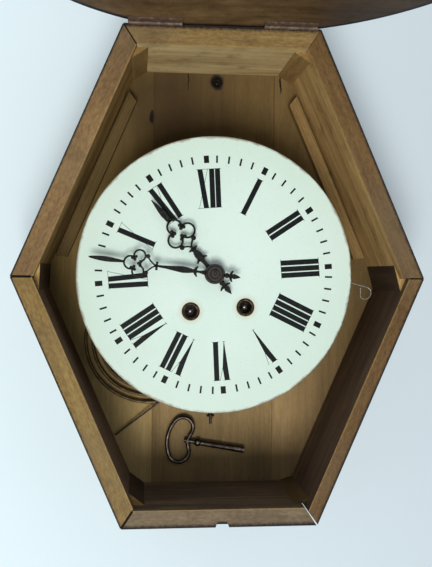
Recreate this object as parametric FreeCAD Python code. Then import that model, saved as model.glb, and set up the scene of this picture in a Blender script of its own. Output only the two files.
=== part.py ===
import FreeCAD, Part
import math
import os
from FreeCAD import Vector

# An oeil de boeuf wall clock, upright as hung: +Z up, the wall at y = 0, the front towards -Y.
# The origin is on the wall plane, at the middle of the hexagonal case. All sizes in millimetres.

# Case
CASE_DEPTH = 104.0
BACK_THICK = 10.0
# The top board first, then clockwise. The photo shows the lower ones thinner.
BOARD_THICKS = (17.0, 17.0, 11.8, 15.0, 16.0, 17.0)
HALF_HEIGHT = 207.0
HALF_TOP = 82.0
HALF_MID = 172.0
PLANK_SEAMS = (-55.0, 58.0)
SEAM_GAP = 0.6
MITRE_GAPS = (0.9, 0.3, 0.5, 1.4, 0.9, 0.7)
HANG_HOLE = (4.0, 182.0)
HANG_HOLE_R = 4.5
BLOCK_LEGS = (9.5, 9.5, 12.0, 8.0, 10.0, 12.0)
BLOCK_RECESSES = (9.0, 9.0, 9.0, 14.0, 17.0, 9.0)
BATTEN_SIDE = 10.0
BATTEN_GAP = 1.5
BATTEN_SPAN = (0.1, 0.9)
NOTCH_X = 2.0
NOTCH_WIDTHS = (12.0, 8.0)
NOTCH_TALL = 5.0
NOTCH_DEEP = 9.0

# Door, drawn shut and then swung open about its hinge axis
DOOR_OPEN = 90.0
DOOR_GAP = 4.5
DOOR_X = 8.0
DOOR_A = 180.0
DOOR_B = 236.0
FRAME_THICK = 12.0
MOULD_THICK = 15.0
SIGHT_A = 134.0
SIGHT_B = 140.0
GLASS_THICK = 3.0
HINGE_X = 56.0
HINGE_LONG = 44.0
KNUCKLE_R = 1.9
HINGE_PIN_R = 0.9
LEAF_THICK = 1.2
LEAF_DEEP = 12.0
DOOR_LEAF_DEEP = 5.0
DOOR_SCREW_HEAD_R = 1.6
SCREW_R = 1.2
SCREW_LONG = 11.0

# Dial and movement, turned a little in the case
DIAL_X = -2.4
DIAL_Z = 2.2
DIAL_TURN = 4.4
DIAL_R = 119.0
DIAL_THICK = 5.0
DIAL_EDGE_R = 1.2
MINUTE_AT = 281.9
HOUR_AT = 323.4
PLATE_R = 60.0
Y_BACK_PLATE = -25.0
Y_TRAIN_BACK = -27.0
Y_TRAIN_FRONT = -57.0
Y_FRONT_PLATE = -59.0
Y_DIAL_PLATE = -71.0
Y_DIAL_BACK = -72.0
Y_DIAL_FRONT = Y_DIAL_BACK - DIAL_THICK
END_SHAKE = 0.3
RUNNING = 0.05

# Arbor places in the movement's own upright frame, about the middle of the dial.
# The centre arbor stands a little off that middle.
MIDDLE = (0.0, 0.0)
CENTRE = (-1.53, 0.92)
GOING_BARREL = (23.6, -29.7)
SECOND = (13.902, -7.332)
THIRD = (9.699, 13.092)
ESCAPE = (4.5, 27.8)
ANCHOR = (4.5, 41.8)
STRIKE_BARREL = (-23.6, -29.7)
STRIKE_SECOND = (-33.9, -7.6)
PIN_WHEEL = (-25.15, 7.56)
LOCKING = (-22.65, 21.74)
FLY = (-16.9, 31.72)
HAMMER = (-51.0, -10.0)
MINUTE_STUD = (CENTRE[0], CENTRE[1] + 12.0)
PILLARS = ((0.0, -53.5), (51.0, 10.0), (-50.0, 17.0), (22.0, 48.5))
POSTS = ((50.0, 24.0), (-50.0, 28.0), (38.0, -40.0))
DIAL_FEET = ((27.5, 47.6), (-27.5, 47.6), (0.0, -46.0))
REPEAT_PIVOT = (36.0, 14.0)
CLICK_OFFSET = (13.0, 9.0)

# Gears: teeth and module of each meshing pair
BARREL_TEETH, BARREL_PINION, BARREL_MODULE = 80, 12, 0.53
SECOND_TEETH, CENTRE_PINION, SECOND_MODULE = 60, 10, 0.5
CENTRE_TEETH, THIRD_PINION, CENTRE_MODULE = 84, 8, 0.36
THIRD_TEETH, ESCAPE_PINION, THIRD_MODULE = 96, 8, 0.3
ESCAPE_TEETH, ESCAPE_R = 38, 10.6
PIN_TEETH, LOCKING_PINION, PIN_MODULE = 64, 8, 0.4
LOCKING_TEETH, FLY_PINION, LOCKING_MODULE = 56, 8, 0.36
CANNON_TEETH, MINUTE_TEETH, CANNON_MODULE = 12, 36, 0.5
MINUTE_PINION, HOUR_TEETH, HOUR_MODULE = 10, 40, 0.48
ARBOR_R = 1.2
SLIM_ARBOR_R = 0.85
PIVOT_R = 0.6
STUD_R = 1.2
REPEAT_STUD_R = 1.5
CANNON_PIPE_R = 1.9
HOUR_PIPE_R = 3.0
WIND_R = 3.0
SQUARE_SIDE = 3.6
Y_WIND_TIP = -71.0
DRUM_R = 19.4
DRUM_BORE = 18.4
RATCHET_TEETH = 24
RATCHET_R = 9.0
EYELET_R = 7.0
EYELET_BORE = 4.9
DIAL_BORE = 5.0

# Layers of the movement, each as its back and its front plane
CENTRE_WHEEL_Y = (-28.5, -30.0)
CENTRE_PINION_Y = (-31.0, -34.0)
SECOND_WHEEL_Y = (-31.5, -33.0)
SECOND_PINION_Y = (-35.0, -39.0)
THIRD_WHEEL_Y = (-47.5, -49.0)
THIRD_PINION_Y = (-28.0, -31.0)
ESCAPE_WHEEL_Y = (-38.5, -39.7)
ESCAPE_PINION_Y = (-46.5, -50.0)
PALLETS_Y = (-38.4, -39.8)
BARREL_TEETH_Y = (-36.0, -38.0)
DRUM_Y = (-37.0, -55.5)
DRUM_BORE_Y = (-38.2, -54.3)
MAINSPRING_Y = (-39.2, -53.2)
PIN_WHEEL_Y = (-44.5, -46.0)
LIFT_PINS_Y = (-41.0, -45.0)
HAMMER_TAIL_Y = (-41.5, -43.0)
LOCKING_WHEEL_Y = (-50.5, -52.0)
LOCKING_PINION_Y = (-43.5, -47.0)
LOCKING_PIN_Y = (-48.0, -51.0)
FLY_PINION_Y = (-49.5, -53.0)
FLY_VANE_Y = (-28.5, -37.0)
RATCHET_Y = (-59.5, -61.5)
CANNON_PINION_Y = (-61.0, -63.2)
MINUTE_WHEEL_Y = (-61.4, -62.8)
MINUTE_PINION_Y = (-62.8, -67.0)
REPEAT_LEVER_Y = (-62.2, -64.2)
HOUR_WHEEL_Y = (-64.6, -66.0)

# Hands
Y_HOUR_HAND = -82.5
Y_MINUTE_HAND = -86.5
Y_HAND_TIP = -93.0
HAND_THICK = 1.0
HAND_LINE = 1.4
HAND_HUB_R = 8.6

# Pendulum, hanging plumb in the case frame
Y_PENDULUM = -19.3
BOB_Z = -101.0
BOB_R = 22.0
BOB_THICK = 6.0
ROD_R = 1.25
NUT_Z = -128.2
ROD_END_Z = -136.0
PEG_R = 0.9
Y_CRUTCH = -23.9

# Gong, its hammer and stay, and the repeat pull, in the case frame
GONG_X, GONG_Z, GONG_Y = -59.4, -57.8, -13.5
GONG_WIRE_R = 1.5
GONG_OUTER = 58.5
GONG_PITCH = 6.4
GONG_HALF_TURNS = 12
STAY_WIRE_R = 0.8
STAY_BITE = 4.0
STAY_FOOT = (-88.7, -146.6)
STAY_HEAD = (-47.0, -114.6)
Y_HAMMER_ARM = -20.5
HAMMER_STRIKES_AT = 60.0
HAMMER_HEAD_R = 3.0
HAMMER_HEAD_LONG = 9.0
LIFT_PIN_CIRCLE = 10.6
LIFT_PIN_R = 0.5
PULL_X, PULL_Z, PULL_R = 127.8, -6.4, 0.8

# Key lying on the back board
KEY_X, KEY_Z, KEY_TILT = -24.3, -152.3, 9.7
KEY_WIRE_R = 1.9
KEY_PIPE_R = 3.2
KEY_COLLAR_R = 3.7
KEY_LONG = 56.0
KEY_LOBE_X, KEY_LOBE_Z, KEY_LOBE_R = -4.0, 11.5, 9.5
KEY_CUSP_X = 2.0
KEY_LOBE_END = 60.0

Y_CASE_FRONT = -CASE_DEPTH
HINGE_Y = Y_CASE_FRONT - DOOR_GAP / 2
HINGE_Z = HALF_HEIGHT
Y_DOOR_BACK = Y_CASE_FRONT - DOOR_GAP
Y_FRAME_FRONT = Y_DOOR_BACK - FRAME_THICK


def box(x0, x1, y0, y1, z0, z1):
    return Part.makeBox(x1 - x0, y1 - y0, z1 - z0, Vector(x0, y0, z0))


def disc(at, radius, y_back, y_front):
    """A round bar along Y, standing at a place given as x and z."""
    return Part.makeCylinder(radius, y_back - y_front, Vector(at[0], y_back, at[1]), Vector(0, -1, 0))


def ring(at, outer, inner, y_back, y_front):
    return disc(at, outer, y_back, y_front).cut(disc(at, inner, y_back + 1, y_front - 1))


def plate(points, y_back, y_front):
    """A flat plate whose outline is a list of x, z corners."""
    corners = [Vector(x, y_back, z) for x, z in points]
    face = Part.Face(Part.makePolygon(corners + corners[:1]))
    return face.extrude(Vector(0, y_front - y_back, 0))


def rod(start, end, radius):
    run = end - start
    return Part.makeCylinder(radius, run.Length, start, run)


def fuse(shapes):
    whole = shapes[0].multiFuse(shapes[1:])
    return whole.removeSplitter()


def swept(path, radius):
    """A round wire along a wire of lines and tangent arcs."""
    first = path.Edges[0]
    start = first.valueAt(first.FirstParameter)
    heading = first.tangentAt(first.FirstParameter)
    section = Part.Wire(Part.makeCircle(radius, start, heading))
    return path.makePipeShell([section], True, False)


def bent_wire(points, bend_r, radius):
    """A round wire along straight runs, with each corner rounded to one bend radius."""
    edges = []
    start = points[0]
    for before, corner, after in zip(points, points[1:], points[2:]):
        back = (before - corner).normalize()
        ahead = (after - corner).normalize()
        half = back.getAngle(ahead) / 2
        reach = bend_r / math.tan(half)
        middle = corner + (back + ahead).normalize() * (bend_r / math.sin(half) - bend_r)
        edges.append(Part.LineSegment(start, corner + back * reach).toShape())
        start = corner + ahead * reach
        edges.append(Part.Arc(corner + back * reach, middle, start).toShape())
    edges.append(Part.LineSegment(start, points[-1]).toShape())
    return swept(Part.Wire(edges), radius)


def turn_place(at):
    """Where a place in the movement's frame lies in the case."""
    turn = math.radians(DIAL_TURN)
    x = at[0] * math.cos(turn) - at[1] * math.sin(turn)
    z = at[0] * math.sin(turn) + at[1] * math.cos(turn)
    return (x + DIAL_X, z + DIAL_Z)


def turned(shape):
    """Carry a piece from the movement's upright frame to its turned place in the case."""
    moved = shape.copy()
    moved.rotate(Vector(0, 0, 0), Vector(0, -1, 0), DIAL_TURN)
    moved.translate(Vector(DIAL_X, 0, DIAL_Z))
    return moved


def opened(shape):
    """Swing a piece of the shut door to its open place."""
    swung = shape.copy()
    swung.rotate(Vector(0, HINGE_Y, HINGE_Z), Vector(-1, 0, 0), DOOR_OPEN)
    return swung


# Case boards

def hexagon(inset):
    """The case outline, from the top left clockwise, drawn in by an inset."""
    slope = math.hypot(HALF_HEIGHT, HALF_MID - HALF_TOP)
    run = HALF_MID - HALF_TOP
    mid = HALF_MID - inset * slope / HALF_HEIGHT
    top = HALF_TOP - inset * (slope - run) / HALF_HEIGHT
    tall = HALF_HEIGHT - inset
    return [(-top, tall), (top, tall), (mid, 0), (top, -tall), (-top, -tall), (-mid, 0)]


def board(index):
    """One board of the hexagon, mitred at both ends with a little open joint."""
    outer, inner = hexagon(0), hexagon(BOARD_THICKS[index])
    after = (index + 1) % 6
    run_x = outer[after][0] - outer[index][0]
    run_z = outer[after][1] - outer[index][1]
    long = math.hypot(run_x, run_z)

    def nudge(point, gap):
        return (point[0] + run_x / long * gap / 2, point[1] + run_z / long * gap / 2)

    corners = [nudge(outer[index], MITRE_GAPS[index]), nudge(outer[after], -MITRE_GAPS[after]),
               nudge(inner[after], -MITRE_GAPS[after]), nudge(inner[index], MITRE_GAPS[index])]
    return plate(corners, -BACK_THICK, Y_CASE_FRONT)


def top_board():
    """The top board, mortised for the hinges and drilled for their screws."""
    whole = board(0)
    for x in (-HINGE_X, HINGE_X):
        whole = whole.cut(leaf_mortise(x))
        for screw_x, screw_y in screw_places(x):
            pilot = Vector(screw_x, screw_y, HINGE_Z - LEAF_THICK - SCREW_LONG)
            whole = whole.cut(Part.makeCylinder(SCREW_R, SCREW_LONG + 1, pilot))
    return whole


def bottom_board():
    wide, narrow = NOTCH_WIDTHS
    low = -HALF_HEIGHT
    outline = [(NOTCH_X - wide / 2, low - 1), (NOTCH_X + wide / 2, low - 1),
               (NOTCH_X + narrow / 2, low + NOTCH_TALL), (NOTCH_X - narrow / 2, low + NOTCH_TALL)]
    return board(3).cut(plate(outline, Y_CASE_FRONT + NOTCH_DEEP, Y_CASE_FRONT - 1))


def back_board():
    """Three upright planks with narrow seams, a hanging hole and a hole for the stay wire."""
    whole = plate(hexagon(0), 0, -BACK_THICK)
    whole = whole.cut(disc(HANG_HOLE, HANG_HOLE_R, 1, -BACK_THICK - 1))
    whole = whole.cut(disc(STAY_FOOT, STAY_WIRE_R + 0.02, -BACK_THICK + STAY_BITE, -BACK_THICK - 1))
    for seam in PLANK_SEAMS:
        saw = box(seam - SEAM_GAP / 2, seam + SEAM_GAP / 2, -BACK_THICK - 1, 1,
                  -HALF_HEIGHT - 1, HALF_HEIGHT + 1)
        whole = whole.cut(saw)
    return whole


def corner_block(index):
    """A glue block that fills the inner corner between two boards and the step where one is thinner."""
    outline = []
    for board_index, other in ((index - 1, index - 1), (index, (index + 1) % 6)):
        inner = hexagon(BOARD_THICKS[board_index])
        corner, far = inner[index], inner[other]
        share = BLOCK_LEGS[index] / math.hypot(far[0] - corner[0], far[1] - corner[1])
        end = (corner[0] + (far[0] - corner[0]) * share, corner[1] + (far[1] - corner[1]) * share)
        outline += [end, corner] if board_index == other else [corner, end]
    if outline[1] == outline[2]:
        outline.pop(1)
    return plate(outline, -BACK_THICK, Y_CASE_FRONT + BLOCK_RECESSES[index])


def batten(index):
    """A square strip on the back board, along an upper side board and a little clear of it."""
    clear = BOARD_THICKS[index] + BATTEN_GAP
    inner, core = hexagon(clear), hexagon(clear + BATTEN_SIDE)
    after = (index + 1) % 6

    def along(points, share):
        a, b = points[index], points[after]
        return (a[0] + (b[0] - a[0]) * share, a[1] + (b[1] - a[1]) * share)

    start, stop = BATTEN_SPAN
    corners = [along(inner, start), along(inner, stop), along(core, stop), along(core, start)]
    return plate(corners, -BACK_THICK, -BACK_THICK - BATTEN_SIDE)


# Hinges

def hinge_bar(x0, x1, radius):
    """A round bar along the hinge axis."""
    return Part.makeCylinder(radius, x1 - x0, Vector(x0, HINGE_Y, HINGE_Z), Vector(1, 0, 0))


def knuckle(x0, x1):
    return hinge_bar(x0, x1, KNUCKLE_R).cut(hinge_bar(x0, x1, HINGE_PIN_R + RUNNING))


def leaf_mortise(x):
    """The shallow bed for a case leaf in the top of the top board."""
    return box(x - HINGE_LONG / 2, x + HINGE_LONG / 2, Y_CASE_FRONT - 1, Y_CASE_FRONT + LEAF_DEEP,
               HINGE_Z - LEAF_THICK, HINGE_Z + 1)


def screw_places(x):
    return [(x + side * HINGE_LONG * 0.3, Y_CASE_FRONT + LEAF_DEEP * 0.55) for side in (-1, 1)]


def case_leaf(x):
    """The case half of a hinge: a leaf let into the top board with one middle knuckle."""
    third = HINGE_LONG / 6 - 0.2
    leaf = box(x - HINGE_LONG / 2, x + HINGE_LONG / 2, Y_CASE_FRONT, Y_CASE_FRONT + LEAF_DEEP,
               HINGE_Z - LEAF_THICK, HINGE_Z)
    tongue = box(x - third, x + third, HINGE_Y, Y_CASE_FRONT, HINGE_Z - LEAF_THICK, HINGE_Z)
    bore = hinge_bar(x - third, x + third, HINGE_PIN_R + RUNNING)
    whole = fuse([leaf, tongue, knuckle(x - third, x + third)]).cut(bore)
    for screw_x, screw_y in screw_places(x):
        sink = Part.makeCone(SCREW_R, 2.0, LEAF_THICK, Vector(screw_x, screw_y, HINGE_Z - LEAF_THICK))
        whole = whole.cut(sink)
    return whole


def door_leaf(x):
    """The door half: a leaf on the door's back with two outer knuckles and its two screw heads."""
    third = HINGE_LONG / 6
    face = Y_DOOR_BACK
    top = HINGE_Z - KNUCKLE_R - 0.4
    pieces = [box(x - HINGE_LONG / 2, x + HINGE_LONG / 2, face, face + LEAF_THICK, top - DOOR_LEAF_DEEP, top)]
    for x0, x1 in ((x - HINGE_LONG / 2, x - third), (x + third, x + HINGE_LONG / 2)):
        pieces.append(box(x0, x1, face, face + LEAF_THICK, top, HINGE_Z))
        pieces.append(knuckle(x0, x1))
    for side in (-1, 1):
        at = (x + side * HINGE_LONG * 0.3, top - DOOR_LEAF_DEEP * 0.6)
        pieces.append(disc(at, DOOR_SCREW_HEAD_R, face + LEAF_THICK + 0.5, face))
    bore = hinge_bar(x - HINGE_LONG / 2, x + HINGE_LONG / 2, HINGE_PIN_R + RUNNING)
    return fuse(pieces).cut(bore)


def hinge_pin(x):
    """A pin riveted in the case half's knuckle, on which the door half turns."""
    third = HINGE_LONG / 6 - 0.2
    run = hinge_bar(x - HINGE_LONG / 2, x + HINGE_LONG / 2, HINGE_PIN_R)
    return fuse([run, hinge_bar(x - third, x + third, HINGE_PIN_R + RUNNING)])


def hinge_screws():
    """Slotted countersunk screws that hold the case leaves, flush with the leaf."""
    screws = []
    for x, y in screw_places(-HINGE_X) + screw_places(HINGE_X):
        under = Vector(x, y, HINGE_Z - LEAF_THICK)
        head = Part.makeCone(SCREW_R, 2.0, LEAF_THICK, under)
        slot = box(x - 3, x + 3, y - 0.25, y + 0.25, HINGE_Z - 0.4, HINGE_Z + 1)
        shank = Part.makeCylinder(SCREW_R, SCREW_LONG, under - Vector(0, 0, SCREW_LONG))
        screws.append(fuse([head.cut(slot), shank]))
    return Part.makeCompound(screws)


# Door

def oval(a, b, y):
    curve = Part.Ellipse(Vector(DOOR_X, y, b), Vector(DOOR_X + a, y, 0), Vector(DOOR_X, y, 0))
    return Part.Wire(curve.toShape())


def oval_slab(a, b, y_back, y_front):
    return Part.Face(oval(a, b, y_back)).extrude(Vector(0, y_front - y_back, 0))


def door_frame():
    """The flat oval back frame, rebated at the front for the glass."""
    frame = oval_slab(DOOR_A, DOOR_B, Y_DOOR_BACK, Y_FRAME_FRONT)
    frame = frame.cut(oval_slab(SIGHT_A, SIGHT_B, Y_DOOR_BACK + 1, Y_FRAME_FRONT - 1))
    rebate = oval_slab(SIGHT_A + 6, SIGHT_B + 6, Y_FRAME_FRONT + GLASS_THICK, Y_FRAME_FRONT - 1)
    return frame.cut(rebate)


def door_glass():
    return oval_slab(SIGHT_A + 5.5, SIGHT_B + 5.5, Y_FRAME_FRONT + GLASS_THICK, Y_FRAME_FRONT)


def door_moulding():
    """The raised front moulding: a swelling outer side, a rounded crest and a sloped sight edge."""
    y = Y_FRAME_FRONT
    sections = ((2.0, 0.0), (2.5, 0.3), (5.0, 0.6), (11.0, 0.88), (20.0, 1.0))
    outer = Part.makeLoft([oval(DOOR_A - inset, DOOR_B - inset, y - MOULD_THICK * rise)
                           for inset, rise in sections], True, True)
    inner = Part.makeLoft([oval(SIGHT_A + 3, SIGHT_B + 3, y + 1), oval(SIGHT_A + 3, SIGHT_B + 3, y - 4),
                           oval(SIGHT_A + 14, SIGHT_B + 14, y - MOULD_THICK - 1)], True, True)
    return outer.cut(inner)


def door_bezel():
    """A brass sight ring that beds on the glass inside the moulding."""
    y = Y_FRAME_FRONT
    ring_of_brass = oval_slab(SIGHT_A + 2.8, SIGHT_B + 2.8, y, y - 3)
    return ring_of_brass.cut(oval_slab(SIGHT_A - 3, SIGHT_B - 3, y + 1, y - 4))


def door_catch():
    """A brass tongue on the door's back that enters the notch in the bottom board."""
    z = -HALF_HEIGHT + 1.2
    foot = box(NOTCH_X - 9, NOTCH_X + 9, Y_DOOR_BACK, Y_DOOR_BACK + 1.5, z - 14, z + 2)
    tongue = box(NOTCH_X - 3, NOTCH_X + 3, Y_DOOR_BACK, Y_CASE_FRONT + 6, z - 0.6, z + 1.4)
    return fuse([foot, tongue])


# Movement plates

def plate_disc(y_back, y_front):
    """A round movement plate with its barrel and pivot holes."""
    whole = disc((0, 0), PLATE_R, y_back, y_front)
    for at in (GOING_BARREL, STRIKE_BARREL):
        whole = whole.cut(disc(at, WIND_R + RUNNING, y_back + 1, y_front - 1))
    for at in (SECOND, THIRD, ESCAPE, STRIKE_SECOND, PIN_WHEEL, LOCKING, FLY):
        whole = whole.cut(disc(at, PIVOT_R + RUNNING, y_back + 1, y_front - 1))
    return whole


def back_plate():
    whole = plate_disc(Y_BACK_PLATE, Y_TRAIN_BACK)
    whole = whole.cut(disc(CENTRE, PIVOT_R + RUNNING, Y_BACK_PLATE + 1, Y_TRAIN_BACK - 1))
    whole = whole.cut(disc(ANCHOR, 2.4, Y_BACK_PLATE + 1, Y_TRAIN_BACK - 1))
    return turned(whole.cut(disc(HAMMER, ARBOR_R + RUNNING, Y_BACK_PLATE + 1, Y_TRAIN_BACK - 1)))


def front_plate():
    """The front plate with its riveted minute wheel stud, click studs and repeat stud."""
    whole = plate_disc(Y_TRAIN_FRONT, Y_FRONT_PLATE)
    whole = whole.cut(disc(CENTRE, ARBOR_R + RUNNING, Y_TRAIN_FRONT + 1, Y_FRONT_PLATE - 1))
    for at in (ANCHOR, HAMMER):
        whole = whole.cut(disc(at, PIVOT_R + RUNNING, Y_TRAIN_FRONT + 1, Y_FRONT_PLATE - 1))
    studs = [disc(MINUTE_STUD, STUD_R, Y_TRAIN_FRONT, MINUTE_PINION_Y[1] - 0.6),
             disc(REPEAT_PIVOT, REPEAT_STUD_R, Y_TRAIN_FRONT, REPEAT_LEVER_Y[1] - 1.3)]
    studs += [disc(click_place(side), STUD_R, Y_TRAIN_FRONT, RATCHET_Y[1] - 1) for side in (1, -1)]
    return turned(fuse([whole] + studs))


def plate_pillars():
    """Turned pillars with a swelled middle that hold the plates apart."""
    pillars = []
    for at in PILLARS:
        middle = (Y_TRAIN_BACK + Y_TRAIN_FRONT) / 2
        pillars.append(fuse([disc(at, 2.4, Y_TRAIN_BACK, Y_TRAIN_FRONT),
                             disc(at, 3.0, middle + 3, middle - 3),
                             disc(at, 3.2, Y_TRAIN_BACK, Y_TRAIN_BACK - 2),
                             disc(at, 3.2, Y_TRAIN_FRONT + 2, Y_TRAIN_FRONT)]))
    return turned(Part.makeCompound(pillars))


def movement_posts():
    """Iron posts with a round foot, from the back board to the back plate."""
    posts = [fuse([disc(at, 3.5, -BACK_THICK, Y_BACK_PLATE), disc(at, 7, -BACK_THICK, -BACK_THICK - 2)])
             for at in POSTS]
    return turned(Part.makeCompound(posts))


# Gears

def toothed(at, teeth, module, phase, y_back, y_front, slim=False):
    """A gear whose straight-sided teeth start from a phase angle; slim gives the leaves of a pinion."""
    radius = module * teeth / 2
    root, tip = (radius - 1.1 * module, radius + 0.7 * module)
    root_share, tip_share = (0.16, 0.08) if slim else (0.23, 0.1)
    step = 2 * math.pi / teeth
    points = []
    for tooth in range(teeth):
        middle = phase + tooth * step
        for reach, share in ((root, -root_share), (tip, -tip_share), (tip, tip_share), (root, root_share)):
            angle = middle + share * step
            points.append((at[0] + reach * math.cos(angle), at[1] + reach * math.sin(angle)))
    return plate(points, y_back, y_front)


def mesh_phase(at, teeth, phase, other_at, other_teeth):
    """The phase at which another gear's gap takes the tooth of the first one."""
    facing = math.atan2(other_at[1] - at[1], other_at[0] - at[0])
    return facing + math.pi - (phase - facing) * teeth / other_teeth - math.pi / other_teeth


def crossed(blank, at, hub_r, rim_r, y_back, y_front):
    """Cut four round openings between a wheel's hub and its rim."""
    hole_r = min((rim_r - hub_r) / 2, (rim_r + hub_r) / 2 * 0.62)
    for quarter in range(4):
        angle = math.pi / 4 + quarter * math.pi / 2
        middle = (hub_r + rim_r) / 2
        hole = (at[0] + middle * math.cos(angle), at[1] + middle * math.sin(angle))
        blank = blank.cut(disc(hole, hole_r, y_back + 1, y_front - 1))
    return blank


def wheel(at, teeth, module, phase, y_back, y_front):
    rim_r = module * teeth / 2 - 1.1 * module - 1.4
    return crossed(toothed(at, teeth, module, phase, y_back, y_front), at, 3.0, rim_r, y_back, y_front)


def arbor(at, radius=ARBOR_R):
    """A steel arbor between the plates with a pivot at each end."""
    back, front = Y_TRAIN_BACK - END_SHAKE, Y_TRAIN_FRONT + END_SHAKE
    return [disc(at, radius, back, front), disc(at, PIVOT_R, Y_BACK_PLATE - 0.4, Y_FRONT_PLATE + 0.4)]


def centre_arbor():
    """The centre arbor, which carries the cannon pinion and hands beyond the front plate."""
    stem = disc(CENTRE, ARBOR_R, Y_TRAIN_BACK - END_SHAKE, Y_HAND_TIP)
    pivot = disc(CENTRE, PIVOT_R, Y_BACK_PLATE - 0.4, Y_TRAIN_BACK - END_SHAKE)
    pinion = toothed(CENTRE, CENTRE_PINION, SECOND_MODULE, 0, *CENTRE_PINION_Y, slim=True)
    big = wheel(CENTRE, CENTRE_TEETH, CENTRE_MODULE, 0, *CENTRE_WHEEL_Y)
    return turned(fuse([stem, pivot, pinion, big]))


def second_wheel(at, driven_at, driven_teeth):
    """A second arbor: its pinion takes the barrel and its wheel drives the next pinion."""
    pinion = toothed(at, BARREL_PINION, BARREL_MODULE, 0, *SECOND_PINION_Y, slim=True)
    phase = mesh_phase(driven_at, driven_teeth, 0, at, SECOND_TEETH)
    big = wheel(at, SECOND_TEETH, SECOND_MODULE, phase, *SECOND_WHEEL_Y)
    return turned(fuse(arbor(at) + [pinion, big]))


def third_wheel():
    phase = mesh_phase(CENTRE, CENTRE_TEETH, 0, THIRD, THIRD_PINION)
    pinion = toothed(THIRD, THIRD_PINION, CENTRE_MODULE, phase, *THIRD_PINION_Y, slim=True)
    big = wheel(THIRD, THIRD_TEETH, THIRD_MODULE, 0, *THIRD_WHEEL_Y)
    return turned(fuse(arbor(THIRD, SLIM_ARBOR_R) + [pinion, big]))


def escape_wheel():
    """The escape wheel, with long raked teeth, on its pinion."""
    phase = mesh_phase(THIRD, THIRD_TEETH, 0, ESCAPE, ESCAPE_PINION)
    pinion = toothed(ESCAPE, ESCAPE_PINION, THIRD_MODULE, phase, *ESCAPE_PINION_Y, slim=True)
    step = 2 * math.pi / ESCAPE_TEETH
    root = ESCAPE_R - 2.2
    points = []
    for tooth in range(ESCAPE_TEETH):
        for reach, share in ((root, 0.1), (ESCAPE_R, 0.42), (ESCAPE_R, 0.52), (root, 0.62)):
            angle = (tooth + share) * step
            points.append((ESCAPE[0] + reach * math.cos(angle), ESCAPE[1] + reach * math.sin(angle)))
    star = crossed(plate(points, *ESCAPE_WHEEL_Y), ESCAPE, 2.6, root - 1, *ESCAPE_WHEEL_Y)
    return turned(fuse(arbor(ESCAPE, SLIM_ARBOR_R) + [pinion, star]))


def barrel(at, second_at):
    """A spring barrel: drum, toothed flange behind and lid in front, bored for the winding arbor."""
    phase = mesh_phase(second_at, BARREL_PINION, 0, at, BARREL_TEETH)
    flange = toothed(at, BARREL_TEETH, BARREL_MODULE, phase, *BARREL_TEETH_Y)
    whole = fuse([flange, disc(at, DRUM_R, *DRUM_Y)]).cut(disc(at, DRUM_BORE, *DRUM_BORE_Y))
    return turned(whole.cut(disc(at, WIND_R + RUNNING, BARREL_TEETH_Y[0] + 1, DRUM_Y[1] - 1)))


def spiral_arcs(inner_r, pitch, half_turns):
    """Half circles about two centres: each one's side (0 upper, 1 lower), centre shift and radius."""
    return [(k % 2, pitch / 4 if k % 2 else -pitch / 4, inner_r + k * pitch / 2) for k in range(half_turns)]


def half_circle(at, side, shift, radius, y):
    """Upper half from right to left, or lower half from left to right."""
    x, z = at[0] + shift, at[1]
    way = 1 if side == 0 else -1
    return Part.Arc(Vector(x + way * radius, y, z), Vector(x, y, z + way * radius),
                    Vector(x - way * radius, y, z)).toShape()


def mainspring(at):
    """A flat coiled spring, hooked to the drum at its outer end."""
    thick, pitch, half_turns = 0.5, 1.7, 16
    arcs = spiral_arcs(DRUM_BORE - thick / 2 - pitch / 4 - (half_turns - 1) * pitch / 2, pitch, half_turns)
    y, y_front = MAINSPRING_Y
    outside = [half_circle(at, side, shift, r + thick / 2, y) for side, shift, r in arcs]
    inside = [half_circle(at, side, shift, r - thick / 2, y) for side, shift, r in arcs]
    ends = []
    for k in (0, -1):
        a, b = outside[k], inside[k]
        which = a.FirstParameter if k == 0 else a.LastParameter
        other = b.FirstParameter if k == 0 else b.LastParameter
        ends.append(Part.LineSegment(a.valueAt(which), b.valueAt(other)).toShape())
    outline = Part.Wire(Part.__sortEdges__(outside + inside + ends))
    return turned(Part.Face(outline).extrude(Vector(0, y_front - y, 0)))


def winding_arbor(at):
    """A winding arbor with its ratchet wheel in front of the plate and a square end for the key."""
    half = SQUARE_SIDE / 2
    square = plate([(at[0] - half, at[1] - half), (at[0] + half, at[1] - half),
                    (at[0] + half, at[1] + half), (at[0] - half, at[1] + half)], RATCHET_Y[0], Y_WIND_TIP)
    step = 2 * math.pi / RATCHET_TEETH
    points = []
    for tooth in range(RATCHET_TEETH):
        for reach, share in ((RATCHET_R, 0), (RATCHET_R - 1.1, 0.12)):
            angle = (tooth + share) * step
            points.append((at[0] + reach * math.cos(angle), at[1] + reach * math.sin(angle)))
    ratchet = plate(points, *RATCHET_Y)
    stem = disc(at, WIND_R, Y_BACK_PLATE - 0.4, RATCHET_Y[1] - 1)
    return turned(fuse([stem, ratchet, square]))


def click_place(side):
    centre = GOING_BARREL if side > 0 else STRIKE_BARREL
    return (centre[0] + side * CLICK_OFFSET[0], centre[1] + CLICK_OFFSET[1])


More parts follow.
